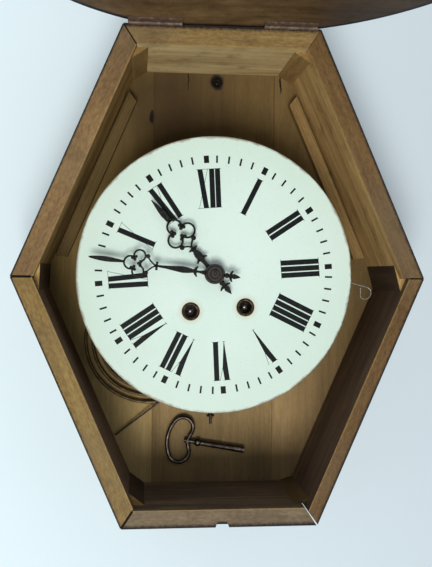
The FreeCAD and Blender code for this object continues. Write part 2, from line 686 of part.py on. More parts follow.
def click(side):
    """A pawl on its stud, its nose just clear of the ratchet's teeth."""
    pivot = click_place(side)
    centre = GOING_BARREL if side > 0 else STRIKE_BARREL
    away = math.atan2(pivot[1] - 6 - centre[1], pivot[0] - centre[0])
    nose_r = RATCHET_R + 0.45
    nose = (centre[0] + nose_r * math.cos(away), centre[1] + nose_r * math.sin(away))
    tail = (pivot[0] - side * 1.0, pivot[1] + 4.5)
    y_back, y_front = RATCHET_Y
    arm = plate([nose, (pivot[0] + side * 2.2, pivot[1] - 1.5), (pivot[0] + side * 1.5, pivot[1] + 2), tail,
                 (pivot[0] - side * 2.2, pivot[1])], y_back, y_front)
    body = fuse([arm, disc(pivot, 2.6, y_back, y_front)])
    return turned(body.cut(disc(pivot, STUD_R + RUNNING, y_back + 1, y_front - 1)))


def click_springs():
    """A flat spring beside each click's tail, riveted to the front plate."""
    springs = []
    for side in (1, -1):
        x, z = click_place(side)
        foot = disc((x - side * 6, z + 14), 2.2, Y_FRONT_PLATE, Y_FRONT_PLATE - 2)
        blade = plate([(x - side * 5.6, z + 14), (x - side * 2.6, z + 4.8), (x - side * 3.1, z + 4.6),
                       (x - side * 6.4, z + 14)], Y_FRONT_PLATE - 0.5, Y_FRONT_PLATE - 2)
        springs.append(fuse([foot, blade]))
    return turned(Part.makeCompound(springs))


def anchor():
    """The anchor arbor with two pallet arms, and the crutch that reaches down to the pendulum rod."""
    x, z = ANCHOR
    upper = [(10.5, -6.6), (3, 1.5), (0, 3), (-3, 1.5), (-10.5, -6.6)]
    lower = [(-9.3, -7.0), (-2.4, -1.2), (0, -1.8), (2.4, -1.2), (9.3, -7.0)]
    arms = plate([(x + dx, z + dz) for dx, dz in upper + lower], *PALLETS_Y)
    stem = disc(ANCHOR, ARBOR_R, Y_CRUTCH - 0.7, Y_TRAIN_FRONT + END_SHAKE)
    pivots = disc(ANCHOR, PIVOT_R, Y_CRUTCH + 1.2, Y_FRONT_PLATE + 0.4)
    works = turned(fuse([arms, stem, pivots, disc(ANCHOR, 2.0, Y_CRUTCH + 0.7, Y_CRUTCH - 0.7)]))
    px, pz = turn_place(ANCHOR)
    fork_z = pz - 38
    wire = box(px - 0.6, px + 0.6, Y_CRUTCH - 0.6, Y_CRUTCH + 0.6, fork_z, pz)
    bridge = box(px - 3, px + 3, Y_CRUTCH - 0.6, Y_CRUTCH + 0.6, fork_z - 1.2, fork_z)
    prongs = [box(px + s - 0.5, px + s + 0.5, Y_CRUTCH - 0.6, Y_PENDULUM + 1.5, fork_z - 1.2, fork_z)
              for s in (-2.4, 2.4)]
    return fuse([works, wire, bridge] + prongs)


def pin_wheel():
    """The pin wheel, whose pins lift the hammer tail."""
    pinion = toothed(PIN_WHEEL, CENTRE_PINION, SECOND_MODULE, 0, *CENTRE_PINION_Y, slim=True)
    big = wheel(PIN_WHEEL, PIN_TEETH, PIN_MODULE, 0, *PIN_WHEEL_Y)
    pins = []
    for k in range(10):
        angle = k * math.pi / 5
        pin_at = (PIN_WHEEL[0] + LIFT_PIN_CIRCLE * math.cos(angle),
                  PIN_WHEEL[1] + LIFT_PIN_CIRCLE * math.sin(angle))
        pins.append(disc(pin_at, LIFT_PIN_R, *LIFT_PINS_Y))
    return turned(fuse(arbor(PIN_WHEEL) + [pinion, big] + pins))


def locking_wheel():
    """The locking wheel, with the one pin that stops the strike."""
    phase = mesh_phase(PIN_WHEEL, PIN_TEETH, 0, LOCKING, LOCKING_PINION)
    pinion = toothed(LOCKING, LOCKING_PINION, PIN_MODULE, phase, *LOCKING_PINION_Y, slim=True)
    pin = disc((LOCKING[0] + 7.6, LOCKING[1]), LIFT_PIN_R, *LOCKING_PIN_Y)
    big = wheel(LOCKING, LOCKING_TEETH, LOCKING_MODULE, 0, *LOCKING_WHEEL_Y)
    return turned(fuse(arbor(LOCKING, SLIM_ARBOR_R) + [pinion, pin, big]))


def fly():
    """The fly, two sheet vanes that brake the strike train."""
    phase = mesh_phase(LOCKING, LOCKING_TEETH, 0, FLY, FLY_PINION)
    pinion = toothed(FLY, FLY_PINION, LOCKING_MODULE, phase, *FLY_PINION_Y, slim=True)
    vane = box(FLY[0] - 7, FLY[0] + 7, FLY_VANE_Y[1], FLY_VANE_Y[0], FLY[1] - 0.4, FLY[1] + 0.4)
    return turned(fuse(arbor(FLY, SLIM_ARBOR_R) + [pinion, vane]))


def cannon_pinion():
    """A pipe on the centre arbor: it drives the motion work and carries the minute hand."""
    pinion = toothed(CENTRE, CANNON_TEETH, CANNON_MODULE, 0, *CANNON_PINION_Y, slim=True)
    whole = fuse([pinion, disc(CENTRE, CANNON_PIPE_R, CANNON_PINION_Y[0] + 1, Y_MINUTE_HAND - 1.4)])
    return turned(whole.cut(disc(CENTRE, ARBOR_R, Y_FRONT_PLATE, Y_HAND_TIP)))


def minute_wheel():
    phase = mesh_phase(CENTRE, CANNON_TEETH, 0, MINUTE_STUD, MINUTE_TEETH)
    big = toothed(MINUTE_STUD, MINUTE_TEETH, CANNON_MODULE, phase, *MINUTE_WHEEL_Y)
    pinion = toothed(MINUTE_STUD, MINUTE_PINION, HOUR_MODULE, 0, *MINUTE_PINION_Y, slim=True)
    bore = disc(MINUTE_STUD, STUD_R + RUNNING, Y_FRONT_PLATE, Y_DIAL_PLATE)
    return turned(fuse([big, pinion]).cut(bore))


def hour_wheel():
    """The hour wheel on its pipe, which turns freely on the cannon pinion."""
    phase = mesh_phase(MINUTE_STUD, MINUTE_PINION, 0, CENTRE, HOUR_TEETH)
    big = toothed(CENTRE, HOUR_TEETH, HOUR_MODULE, phase, *HOUR_WHEEL_Y)
    whole = fuse([big, disc(CENTRE, HOUR_PIPE_R, HOUR_WHEEL_Y[0] + 0.4, Y_HOUR_HAND - 1.2)])
    return turned(whole.cut(disc(CENTRE, CANNON_PIPE_R + RUNNING, Y_FRONT_PLATE, Y_HAND_TIP)))


# Hands, drawn pointing up and then turned to the time

def mirrored(points):
    """Close a half outline, given up its right side, with its mirror image."""
    return points + [(-x, z) for x, z in reversed(points) if x != 0]


def trefoil(rings, y_back, y_front):
    return [ring((x, z), r + HAND_LINE / 2, r - HAND_LINE / 2, y_back, y_front) for x, z, r in rings]


def strip(start, end, width, y_back, y_front):
    """A flat bar from one x, z place to another."""
    run_x, run_z = end[0] - start[0], end[1] - start[1]
    half = width / 2 / math.hypot(run_x, run_z)
    dx, dz = -run_z * half, run_x * half
    return plate([(start[0] + dx, start[1] + dz), (end[0] + dx, end[1] + dz),
                  (end[0] - dx, end[1] - dz), (start[0] - dx, start[1] - dz)], y_back, y_front)


def at_time(shape, angle):
    hand = shape.copy()
    hand.rotate(Vector(0, 0, 0), Vector(0, 1, 0), angle)
    hand.translate(Vector(CENTRE[0], 0, CENTRE[1]))
    return turned(hand)


def minute_hand():
    """A pierced steel hand: leaf tip, three open rings, splayed neck, cross, tapered stem and arrow tail."""
    back, front = Y_MINUTE_HAND, Y_MINUTE_HAND - HAND_THICK
    leaf = [(0.9, 77.0), (2.1, 92.6), (0.9, 101), (0, 106.7)]
    stem = [(2.0, 6), (2.0, 9), (0.7, 13.4), (1.45, 18.5), (2.85, 27.3), (1.35, 40.3), (0.9, 50.5)]
    barbs = [(0.7, 13.6), (4.4, 15.2), (1.6, 18.6)]
    tail = [(0, -22.0), (1.7, -16.4), (4.6, -14.8), (1.0, -13.4), (1.0, -6)]
    pieces = [plate(mirrored(outline), back, front) for outline in (leaf, stem, barbs, tail)]
    pieces += trefoil([(0, 71.7, 5.4), (6.6, 64.7, 4.8), (-6.6, 64.7, 4.8)], back, front)
    pieces += [disc(at, r, back, front) for at, r in (((0, 64.2), 2.0), ((0, -10.3), 2.1),
                                                     ((7.0, 58.2), 1.7), ((-7.0, 58.2), 1.7))]
    pieces += [strip((0, 49.7), (side * 7.0, 58.2), 1.2, back, front) for side in (-1, 1)]
    pieces += [strip((-3.7, 49.7), (3.7, 49.7), 2.4, back, front), disc(MIDDLE, HAND_HUB_R, back, front)]
    return at_time(fuse(pieces).cut(disc(MIDDLE, CANNON_PIPE_R, back + 1, front - 1)), MINUTE_AT)


def hour_hand():
    """The shorter hand: spear tip, three open rings, splayed neck with beads, leaf stem and arrow tail."""
    back, front = Y_HOUR_HAND, Y_HOUR_HAND - HAND_THICK
    spear = [(1.5, 57.6), (2.1, 66.5), (1.3, 75), (0, 82.0)]
    stem = [(2.2, 6), (2.2, 14.8), (3.4, 21.2), (1.4, 26.4), (0.9, 31)]
    thorns = [(2.2, 14.4), (5.3, 15.9), (3.0, 18.2)]
    barbs = [(1.4, 26.3), (4.3, 27.6), (1.0, 29.6)]
    tail = [(0, -22.4), (1.9, -16.6), (5.3, -14.4), (1.1, -13.4), (1.1, -6)]
    pieces = [plate(mirrored(outline), back, front) for outline in (spear, stem, thorns, barbs, tail)]
    pieces += trefoil([(0, 52.2, 6.2), (6.7, 43.0, 6.1), (-6.7, 43.0, 6.1)], back, front)
    pieces += [disc(at, r, back, front) for at, r in (((0, 41.6), 2.0), ((0, -10), 2.5),
                                                     ((6.4, 35.2), 2.0), ((-6.4, 35.2), 2.0))]
    pieces += [strip((0, 30.2), (side * 6.4, 35.2), 1.2, back, front) for side in (-1, 1)]
    pieces.append(disc(MIDDLE, HAND_HUB_R, back, front))
    return at_time(fuse(pieces).cut(disc(MIDDLE, HOUR_PIPE_R, back + 1, front - 1)), HOUR_AT)


def hand_collet():
    """The stepped collet pinned over the minute hand's hub."""
    y = Y_MINUTE_HAND - HAND_THICK
    whole = fuse([disc(CENTRE, 6.4, y, y - 0.8), disc(CENTRE, 3.6, y, y - 2.2)])
    whole = whole.cut(disc(CENTRE, CANNON_PIPE_R, y + 1, y - 0.4))
    return turned(whole.cut(disc(CENTRE, ARBOR_R, y + 1, y - 4)))


# Dial

def dial():
    """A milk glass disc with a rounded front edge, bored for the hand pipes and the winding eyelets."""
    whole = disc(MIDDLE, DIAL_R, Y_DIAL_BACK, Y_DIAL_FRONT)
    rim = [edge for edge in whole.Edges if edge.BoundBox.YMax < Y_DIAL_FRONT + 0.1]
    whole = whole.makeFillet(DIAL_EDGE_R, rim)
    whole = whole.cut(disc(CENTRE, DIAL_BORE, Y_DIAL_BACK + 1, Y_DIAL_FRONT - 1))
    for at in (GOING_BARREL, STRIKE_BARREL):
        whole = whole.cut(disc(at, EYELET_R, Y_DIAL_BACK + 1, Y_DIAL_FRONT - 1))
    return turned(whole)


def dial_plate():
    """The sheet metal plate behind the glass, with three riveted feet to the front plate."""
    whole = disc(MIDDLE, DIAL_R - 11, Y_DIAL_PLATE, Y_DIAL_BACK)
    whole = whole.cut(disc(CENTRE, DIAL_BORE, Y_DIAL_PLATE + 1, Y_DIAL_BACK - 1))
    for at in (GOING_BARREL, STRIKE_BARREL):
        whole = whole.cut(disc(at, EYELET_R, Y_DIAL_PLATE + 1, Y_DIAL_BACK - 1))
    feet = [disc(at, 2.0, Y_FRONT_PLATE, Y_DIAL_PLATE) for at in DIAL_FEET]
    return turned(fuse([whole] + feet))


def winding_eyelets():
    """Brass eyelets through glass and plate, flanged at both ends, that clamp the dial."""
    eyelets = []
    for at in (GOING_BARREL, STRIKE_BARREL):
        back, front = Y_DIAL_PLATE, Y_DIAL_FRONT
        body = fuse([disc(at, EYELET_R, back + 0.8, front - 0.8), disc(at, 8.0, back + 0.8, back),
                     disc(at, 7.8, front, front - 0.8)])
        eyelets.append(body.cut(disc(at, EYELET_BORE, back + 2, front - 2)))
    return turned(Part.makeCompound(eyelets))


# Pendulum

def suspension_cock():
    """A bridge on the back plate whose cross pin carries the pendulum."""
    x, z = turn_place(ANCHOR)
    cheek = box(x - 16, x + 16, -22.8, -21.4, z - 4, z + 6)
    cheek = cheek.cut(disc((x, z), PIVOT_R + RUNNING, -21, -23))
    feet = [box(x + s - 2, x + s + 2, Y_BACK_PLATE, -22.8, z - 4, z + 6) for s in (-14, 14)]
    rear = box(x - 5, x + 5, -17.2, -15.8, z - 4, z + 6)
    bridge = box(x - 5, x + 5, -21.4, -17.2, z + 4, z + 6)
    pin = disc((x, z), PEG_R, -16.5, -21.5)
    return fuse([cheek, rear, bridge, pin] + feet)


def suspension_spring():
    """Two brass chops joined by a thin steel strip, hung on the cock's pin."""
    x, z = turn_place(ANCHOR)
    top = box(x - 2.5, x + 2.5, -20.9, -17.7, z - 3, z + 3).cut(disc((x, z), PEG_R + RUNNING, -17, -22))
    strip = box(x - 0.15, x + 0.15, -20.8, -17.8, z - 15, z - 3)
    return fuse([top, strip, box(x - 2.5, x + 2.5, -20.9, -17.7, z - 20, z - 15)])


def pendulum_rod():
    x, z = turn_place(ANCHOR)
    return rod(Vector(x, Y_PENDULUM, ROD_END_Z), Vector(x, Y_PENDULUM, z - 20), ROD_R)


def pendulum_bob():
    """A lens-shaped brass bob, drilled for the rod."""
    x = turn_place(ANCHOR)[0]
    dome_r = (BOB_R ** 2 + (BOB_THICK / 2) ** 2) / BOB_THICK
    lens = None
    for way in (-1, 1):
        ball = Part.makeSphere(dome_r, Vector(x, Y_PENDULUM + way * (dome_r - BOB_THICK / 2), BOB_Z))
        lens = ball if lens is None else lens.common(ball)
    lens = lens.common(disc((x, BOB_Z), BOB_R - 0.5, Y_PENDULUM + 9, Y_PENDULUM - 9))
    return lens.cut(rod(Vector(x, Y_PENDULUM, BOB_Z - 40), Vector(x, Y_PENDULUM, BOB_Z + 40), ROD_R))


def rating_nut():
    """The nut under the bob: a short boss on a thin round head."""
    x = turn_place(ANCHOR)[0]
    head = Part.makeCylinder(3.5, 1.6, Vector(x, Y_PENDULUM, NUT_Z - 0.8))
    boss = Part.makeCylinder(2.2, 2.0, Vector(x, Y_PENDULUM, NUT_Z + 0.8))
    bore = Part.makeCylinder(ROD_R + RUNNING, 9, Vector(x, Y_PENDULUM, NUT_Z - 4))
    return fuse([head, boss]).cut(bore)


# Gong and hammer

def gong_path():
    """Out of the stand, round a small half turn, then a spiral of widening half turns."""
    inner_r = GONG_OUTER - (GONG_HALF_TURNS - 1) * GONG_PITCH / 2
    arcs = spiral_arcs(inner_r, GONG_PITCH, GONG_HALF_TURNS)
    middle = GONG_X + arcs[0][1]
    inner_end = Vector(middle, GONG_Y, GONG_Z)
    lead = Part.LineSegment(inner_end + Vector(0, 0, 2 * GONG_WIRE_R), inner_end)
    small = half_circle((middle + inner_r / 2, GONG_Z), 1, 0, inner_r / 2, GONG_Y)
    turns = [half_circle((GONG_X, GONG_Z), side, shift, r, GONG_Y) for side, shift, r in arcs]
    return Part.Wire([lead.toShape(), small] + turns)


def least_gap(path, wire_r, spacing):
    """The least clear distance between parts of the wire more than a quarter turn apart."""
    points = path.discretize(Distance=spacing)
    nearest = math.inf
    for i, point in enumerate(points):
        skip = int(20 * wire_r / spacing)
        for other in points[i + skip:]:
            nearest = min(nearest, (point - other).Length)
    return nearest - 2 * wire_r


def gong_coil():
    """A spiral of hardened steel wire, wound outwards from the stand."""
    path = gong_path()
    print("gong: least gap between turns", round(least_gap(path, GONG_WIRE_R, 2.5), 2), "mm")
    coil = swept(path, GONG_WIRE_R)
    drawn = math.pi * GONG_WIRE_R ** 2 * path.Length
    print("gong: volume over section times length", round(coil.Volume / drawn, 4))
    return coil


def gong_stand():
    """A cast iron block on the back board that grips the inner end of the coil."""
    x, z = GONG_X - GONG_PITCH / 4, GONG_Z + 2 * GONG_WIRE_R
    block = box(x - 4.5, x + 4.5, -BACK_THICK - 8, -BACK_THICK, z, z + 10)
    foot = box(x - 8, x + 8, -BACK_THICK - 1.5, -BACK_THICK, z - 1, z + 12)
    return fuse([block, foot])


def stay_wire():
    """A stiff wire driven into the back board that rises past the gong's outer turn."""
    foot = Vector(STAY_FOOT[0], -BACK_THICK + STAY_BITE, STAY_FOOT[1])
    knee = Vector(STAY_FOOT[0], -BACK_THICK - 2.4, STAY_FOOT[1])
    head = Vector(STAY_HEAD[0], GONG_Y - GONG_WIRE_R - STAY_WIRE_R - 1.2, STAY_HEAD[1])
    return bent_wire([foot, knee, head], 1.7, STAY_WIRE_R)


def hammer_tail():
    """The flat tail that points at the pin wheel and ends just short of its pins."""
    x, z = turn_place(HAMMER)
    pin_x, pin_z = turn_place(PIN_WHEEL)
    far = math.hypot(pin_x - x, pin_z - z)
    ux, uz = (pin_x - x) / far, (pin_z - z) / far
    reach = far - LIFT_PIN_CIRCLE - LIFT_PIN_R - 0.8
    return plate([(x - uz * 1.5, z + ux * 1.5), (x + uz * 1.5, z - ux * 1.5),
                  (x + ux * reach + uz * 0.6, z + uz * reach - ux * 0.6),
                  (x + ux * reach - uz * 0.6, z + uz * reach + ux * 0.6)], *HAMMER_TAIL_Y)


def hammer():
    """The hammer arbor with its tail and, behind the back plate, the arm and the head over the gong."""
    x, z = turn_place(HAMMER)
    stem = disc((x, z), ARBOR_R, Y_HAMMER_ARM + 1, Y_TRAIN_FRONT + END_SHAKE)
    pivot = disc((x, z), PIVOT_R, Y_TRAIN_FRONT + END_SHAKE, Y_FRONT_PLATE + 0.4)
    angle = math.radians(HAMMER_STRIKES_AT)
    outward = Vector(math.cos(angle), 0, math.sin(angle))
    coil = Vector(GONG_X - GONG_PITCH / 4, GONG_Y, GONG_Z)
    face = coil + outward * (GONG_OUTER - GONG_PITCH / 2 + GONG_WIRE_R + 1.0)
    head = Part.makeCylinder(HAMMER_HEAD_R, HAMMER_HEAD_LONG, face, outward)
    middle = face + outward * (HAMMER_HEAD_LONG / 2)
    elbow = Vector(middle.x, Y_HAMMER_ARM, middle.z)
    arm = rod(Vector(x, Y_HAMMER_ARM, z), elbow, 0.9)
    neck = rod(elbow + Vector(0, -1.6, 0), middle, 1.2)
    collar = disc((x, z), 2.2, Y_HAMMER_ARM + 1, Y_HAMMER_ARM - 1)
    return fuse([stem, pivot, hammer_tail(), collar, arm, neck, head])


def repeat_lever():
    """A lever on the front plate with a long pull wire that ends in a hanging D-shaped loop."""
    y_back, y_front = REPEAT_LEVER_Y
    x, z = turn_place(REPEAT_PIVOT)
    hub = disc((x, z), 4.0, y_back, y_front)
    y = (y_back + y_front) / 2
    wire = rod(Vector(x + 2, y, z), Vector(PULL_X, y, PULL_Z), PULL_R)
    top, low, half = PULL_Z, PULL_Z - 13.0, 5.2
    corner = 4.0
    x0, x1 = PULL_X, PULL_X + 2 * half
    turns = [(x0, top), (x1, top - 1), (x1, low), (x0, low), (x0, top - 2)]
    loop = bent_wire([Vector(turn_x, y, turn_z) for turn_x, turn_z in turns], corner, PULL_R)
    return fuse([hub, wire, loop]).cut(disc((x, z), REPEAT_STUD_R + RUNNING, y_back + 1, y_front - 1))


# Key

def key_place(shape):
    """Lay the key, drawn with its pipe along +X, on the back board."""
    laid = shape.copy()
    laid.rotate(Vector(0, 0, 0), Vector(0, 1, 0), KEY_TILT)
    laid.translate(Vector(KEY_X, -BACK_THICK - KEY_PIPE_R - 0.6, KEY_Z))
    return laid


def key_half_bow(way):
    """Half of the kidney-shaped bow: out from the cusp, round a lobe, then a flat arc to the far side."""
    lobe = Vector(KEY_LOBE_X, 0, way * KEY_LOBE_Z)
    cusp = Vector(KEY_CUSP_X, 0, 0)
    toward = lobe - cusp
    straight = math.sqrt(toward.Length ** 2 - KEY_LOBE_R ** 2)
    heading = math.atan2(KEY_LOBE_Z, toward.x) - math.asin(KEY_LOBE_R / toward.Length)
    touch = cusp + Vector(math.cos(heading), 0, way * math.sin(heading)) * straight
    end = math.radians(KEY_LOBE_END)
    outward = Vector(-math.sin(end), 0, way * math.cos(end))
    flat_r = KEY_LOBE_R + KEY_LOBE_Z / math.cos(end)
    flat_x = KEY_LOBE_X + KEY_LOBE_Z * math.tan(end)
    join, far = lobe + outward * KEY_LOBE_R, Vector(flat_x - flat_r, 0, 0)
    halfway = (end + math.pi / 2) / 2
    between = Vector(flat_x, 0, 0) + Vector(-math.sin(halfway), 0, way * math.cos(halfway)) * flat_r
    runs = [Part.LineSegment(cusp, touch), Part.Arc(touch, lobe + Vector(0, 0, way * KEY_LOBE_R), join)]
    return swept(Part.Wire([run.toShape() for run in runs] + [Part.Arc(join, between, far).toShape()]),
                 KEY_WIRE_R)


def winding_key():
    """A clock key: wire bow, turned collar and a pipe with a square socket."""
    pipe = Part.makeCone(KEY_PIPE_R - 0.6, KEY_PIPE_R, KEY_LONG - 10, Vector(10, 0, 0), Vector(1, 0, 0))
    neck = Part.makeCylinder(2.0, 12, Vector(-1, 0, 0), Vector(1, 0, 0))
    collar = Part.makeSphere(KEY_COLLAR_R, Vector(12, 0, 0), Vector(1, 0, 0))
    half = SQUARE_SIDE / 2 + 0.15
    socket = box(KEY_LONG - 16, KEY_LONG + 1, -half, half, -half, half)
    return key_place(fuse([key_half_bow(1), key_half_bow(-1), neck, collar, pipe]).cut(socket))


def save(name, shape):
    if not shape.isValid():
        print(name, "is not a valid shape")
    shape.exportStep("parts/" + name + ".step")


os.makedirs("parts", exist_ok=True)

save("back_board", back_board())
save("top_board", top_board())
save("bottom_board", bottom_board())
for index, name in ((1, "upper_right_board"), (2, "lower_right_board"), (4, "lower_left_board"),
                    (5, "upper_left_board")):
    save(name, board(index))
save("corner_blocks", Part.makeCompound([corner_block(index) for index in range(6)]))
save("battens", Part.makeCompound([batten(1), batten(5)]))
save("case_hinge_leaves", Part.makeCompound([case_leaf(-HINGE_X), case_leaf(HINGE_X)]))
save("hinge_pins", Part.makeCompound([hinge_pin(-HINGE_X), hinge_pin(HINGE_X)]))
save("hinge_screws", hinge_screws())

for name, maker in (("door_frame", door_frame), ("door_moulding", door_moulding), ("door_bezel", door_bezel),
                    ("door_glass", door_glass), ("door_catch", door_catch)):
    save(name, opened(maker()))
save("door_hinge_leaves", opened(Part.makeCompound([door_leaf(-HINGE_X), door_leaf(HINGE_X)])))

save("movement_posts", movement_posts())
save("back_plate", back_plate())
save("front_plate", front_plate())
save("plate_pillars", plate_pillars())

save("centre_arbor", centre_arbor())
save("second_wheel", second_wheel(SECOND, CENTRE, CENTRE_PINION))
save("third_wheel", third_wheel())
save("escape_wheel", escape_wheel())
save("anchor", anchor())
save("going_barrel", barrel(GOING_BARREL, SECOND))
save("going_mainspring", mainspring(GOING_BARREL))
save("going_winding_arbor", winding_arbor(GOING_BARREL))
save("going_click", click(1))
save("strike_barrel", barrel(STRIKE_BARREL, STRIKE_SECOND))
save("strike_mainspring", mainspring(STRIKE_BARREL))
save("strike_winding_arbor", winding_arbor(STRIKE_BARREL))
save("strike_click", click(-1))
save("click_springs", click_springs())
save("strike_second_wheel", second_wheel(STRIKE_SECOND, PIN_WHEEL, CENTRE_PINION))
save("pin_wheel", pin_wheel())
save("locking_wheel", locking_wheel())
save("fly", fly())
save("hammer", hammer())
save("repeat_lever", repeat_lever())

save("cannon_pinion", cannon_pinion())
save("minute_wheel", minute_wheel())
save("hour_wheel", hour_wheel())
save("minute_hand", minute_hand())
save("hour_hand", hour_hand())
save("hand_collet", hand_collet())
save("dial", dial())
save("dial_plate", dial_plate())
save("winding_eyelets", winding_eyelets())

save("suspension_cock", suspension_cock())
save("suspension_spring", suspension_spring())
save("pendulum_rod", pendulum_rod())
save("pendulum_bob", pendulum_bob())
save("rating_nut", rating_nut())

save("gong_stand", gong_stand())
save("gong_coil", gong_coil())
save("stay_wire", stay_wire())
save("winding_key", winding_key())
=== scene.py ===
import math
from functools import partial

import bpy
import numpy as np
from mathutils import Matrix, Vector


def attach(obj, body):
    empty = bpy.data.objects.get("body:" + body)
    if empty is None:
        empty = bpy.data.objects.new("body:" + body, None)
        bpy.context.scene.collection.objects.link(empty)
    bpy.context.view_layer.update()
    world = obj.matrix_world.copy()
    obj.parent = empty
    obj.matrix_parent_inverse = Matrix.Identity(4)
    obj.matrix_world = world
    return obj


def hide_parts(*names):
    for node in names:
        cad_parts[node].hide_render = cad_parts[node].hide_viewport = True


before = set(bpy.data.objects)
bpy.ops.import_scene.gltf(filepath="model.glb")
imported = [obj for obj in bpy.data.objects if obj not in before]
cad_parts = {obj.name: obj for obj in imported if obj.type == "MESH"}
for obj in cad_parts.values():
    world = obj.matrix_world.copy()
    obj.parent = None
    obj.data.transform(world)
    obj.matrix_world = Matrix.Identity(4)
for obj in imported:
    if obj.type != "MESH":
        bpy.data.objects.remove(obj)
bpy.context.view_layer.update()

scene = bpy.context.scene
scene.view_settings.view_transform = "Standard"

# The camera: a hand-held picture taken square on to the case, from a little left of its middle.
# The place and turn come from the six corners of the case and the four quarter marks of the dial.
CAMERA_AT = Vector((-0.0687, -0.7908, 0.0032))
CAMERA_TURN = Vector((0.012, 0.006, 0.093))
FOCAL_PIXELS, LONG_SIDE_PIXELS, SENSOR_MM, CLIP_START = 836.0, 567.0, 36.0, 0.02

across, ahead, upward = Matrix.Rotation(CAMERA_TURN.length, 3, CAMERA_TURN)
lens = bpy.data.cameras.new("camera")
lens.sensor_width = SENSOR_MM
lens.lens = FOCAL_PIXELS * SENSOR_MM / LONG_SIDE_PIXELS
lens.clip_start = CLIP_START
camera = bpy.data.objects.new("camera", lens)
camera.matrix_world = Matrix.Translation(CAMERA_AT) @ Matrix((across, upward, -ahead)).transposed().to_4x4()
scene.collection.objects.link(camera)
scene.camera = camera

# The stage: a matt white ground that stands upright behind the clock, as a wall, and a floor below it. Both
# are seen from one side only, so that the back of the clock can be looked at. Meshes are in millimetres, and
# places in materials are in metres.
MM, WALL_Y, FLOOR_Z, STAGE_HALF = 0.001, 1.5, -1000.0, 1600.0
FALLOFF_HALF, GREY_FROM, GREY_TO = 250 * MM, 330 * MM, 800 * MM
# Every Mix is one of colours, and every Mapping says where a texture lies.
USUAL = {"Mix": {"data_type": "RGBA"}, "Mapping": {"vector_type": "TEXTURE"}}


def colour(code):
    """An sRGB hex code as linear red, green, blue and full alpha."""
    share = np.array([int(code[i:i + 2], 16) for i in (1, 3, 5)]) / 255
    linear = np.where(share <= 0.04045, share / 12.92, ((share + 0.055) / 1.055) ** 2.4)
    return (*linear.tolist(), 1.0)


def fill(node, inputs):
    """Sets or links a node's sockets, in their order or by name. A hex code stands for its colour."""
    sockets = [socket for socket in node.inputs if socket.enabled]
    if isinstance(inputs, dict):
        named = {socket.name: socket for socket in reversed(sockets)}
        sockets, inputs = [named[name] for name in inputs], inputs.values()
    for socket, value in zip(sockets, inputs):
        if isinstance(value, bpy.types.NodeSocket):
            node.id_data.links.new(value, socket)
        else:
            socket.default_value = colour(value) if isinstance(value, str) else value


def add_node(tree, kind, inputs=(), out=None, stops=(), **settings):
    """Adds a node with its settings and inputs and returns one output. The stops of a ramp are tones spread
    evenly, or pairs of a place and a tone."""
    node = tree.nodes.new("ShaderNode" + kind)
    for name, value in {**USUAL.get(kind, {}), **settings}.items():
        setattr(node, name, value)
    for count, stop in enumerate(stops):
        place, tone = (count / (len(stops) - 1), stop) if isinstance(stop, str) else stop
        points = node.color_ramp.elements
        point = points[count] if count < len(points) else points.new(place)
        point.position, point.color = place, colour(tone)
    fill(node, inputs)
    shown = [socket for socket in node.outputs if socket.enabled]
    return next((socket for socket in shown if socket.name == out), shown[0])


def start_material(name, shine=0.5, roughness=0.5, inputs=()):
    """A new material of a shine and roughness, with other sockets of its main shader. Returns it, a function
    that adds nodes to it, that shader, and the place on the object."""
    material = bpy.data.materials.new(name)
    material.use_nodes = True
    add = partial(add_node, material.node_tree)
    shader = material.node_tree.nodes["Principled BSDF"]
    fill(shader, {"Specular IOR Level": shine, "Roughness": roughness})
    fill(shader, inputs)
    return material, add, shader, add("TexCoord", out="Object")


def make_piece(name, points, faces, material, sharp_above=40):
    """A mesh object at the origin from places in millimetres, smooth where neighbouring faces bend less."""
    mesh = bpy.data.meshes.new(name)
    mesh.from_pydata((np.asarray(points) * MM).tolist(), [], [list(map(int, face)) for face in faces])
    mesh.validate()
    mesh.shade_smooth()
    mesh.set_sharp_from_angle(angle=math.radians(sharp_above))
    mesh.materials.append(material)
    piece = bpy.data.objects.new(name, mesh)
    scene.collection.objects.link(piece)
    return piece


# Matt white paper gives a pale ground that keeps a soft shadow. Its colour is painted darker to the
# right, as painted light falling off, and greyer away from the clock, as painted shade. A MapRange takes a
# value, the range that it comes from and the range that it goes to.
paper, add, shader, place = start_material("matt_white_paper", shine=0.1, roughness=0.9)
aside = add("SeparateXYZ", [place], out="X")
painted_falloff = add("MapRange", [aside, -FALLOFF_HALF, FALLOFF_HALF])
white = add("Mix", [painted_falloff, "#E9F9FF", "#CFDBE2"])
away = add("VectorMath", [place], operation="LENGTH")
outer = add("MapRange", [away, GREY_FROM, GREY_TO])
ground = add("Mix", [outer, white, "#C9D4DA"])
fill(shader, {"Base Color": ground})
behind, shadow = add("NewGeometry", out="Backfacing"), add("LightPath", out="Is Shadow Ray")
hidden = add("Math", [behind, shadow], operation="MAXIMUM")
see_through = add("MixShader", [hidden, shader.outputs[0], add("BsdfTransparent")])
fill(paper.node_tree.nodes["Material Output"], {"Surface": see_through})
for name, near, far in (("wall", (WALL_Y, FLOOR_Z), (WALL_Y, STAGE_HALF)),
                        ("floor", (-2 * STAGE_HALF, FLOOR_Z), (STAGE_HALF, FLOOR_Z))):
    corners = [(-STAGE_HALF, *near), (STAGE_HALF, *near), (STAGE_HALF, *far), (-STAGE_HALF, *far)]
    make_piece(name, corners, [(0, 1, 2, 3)], paper)

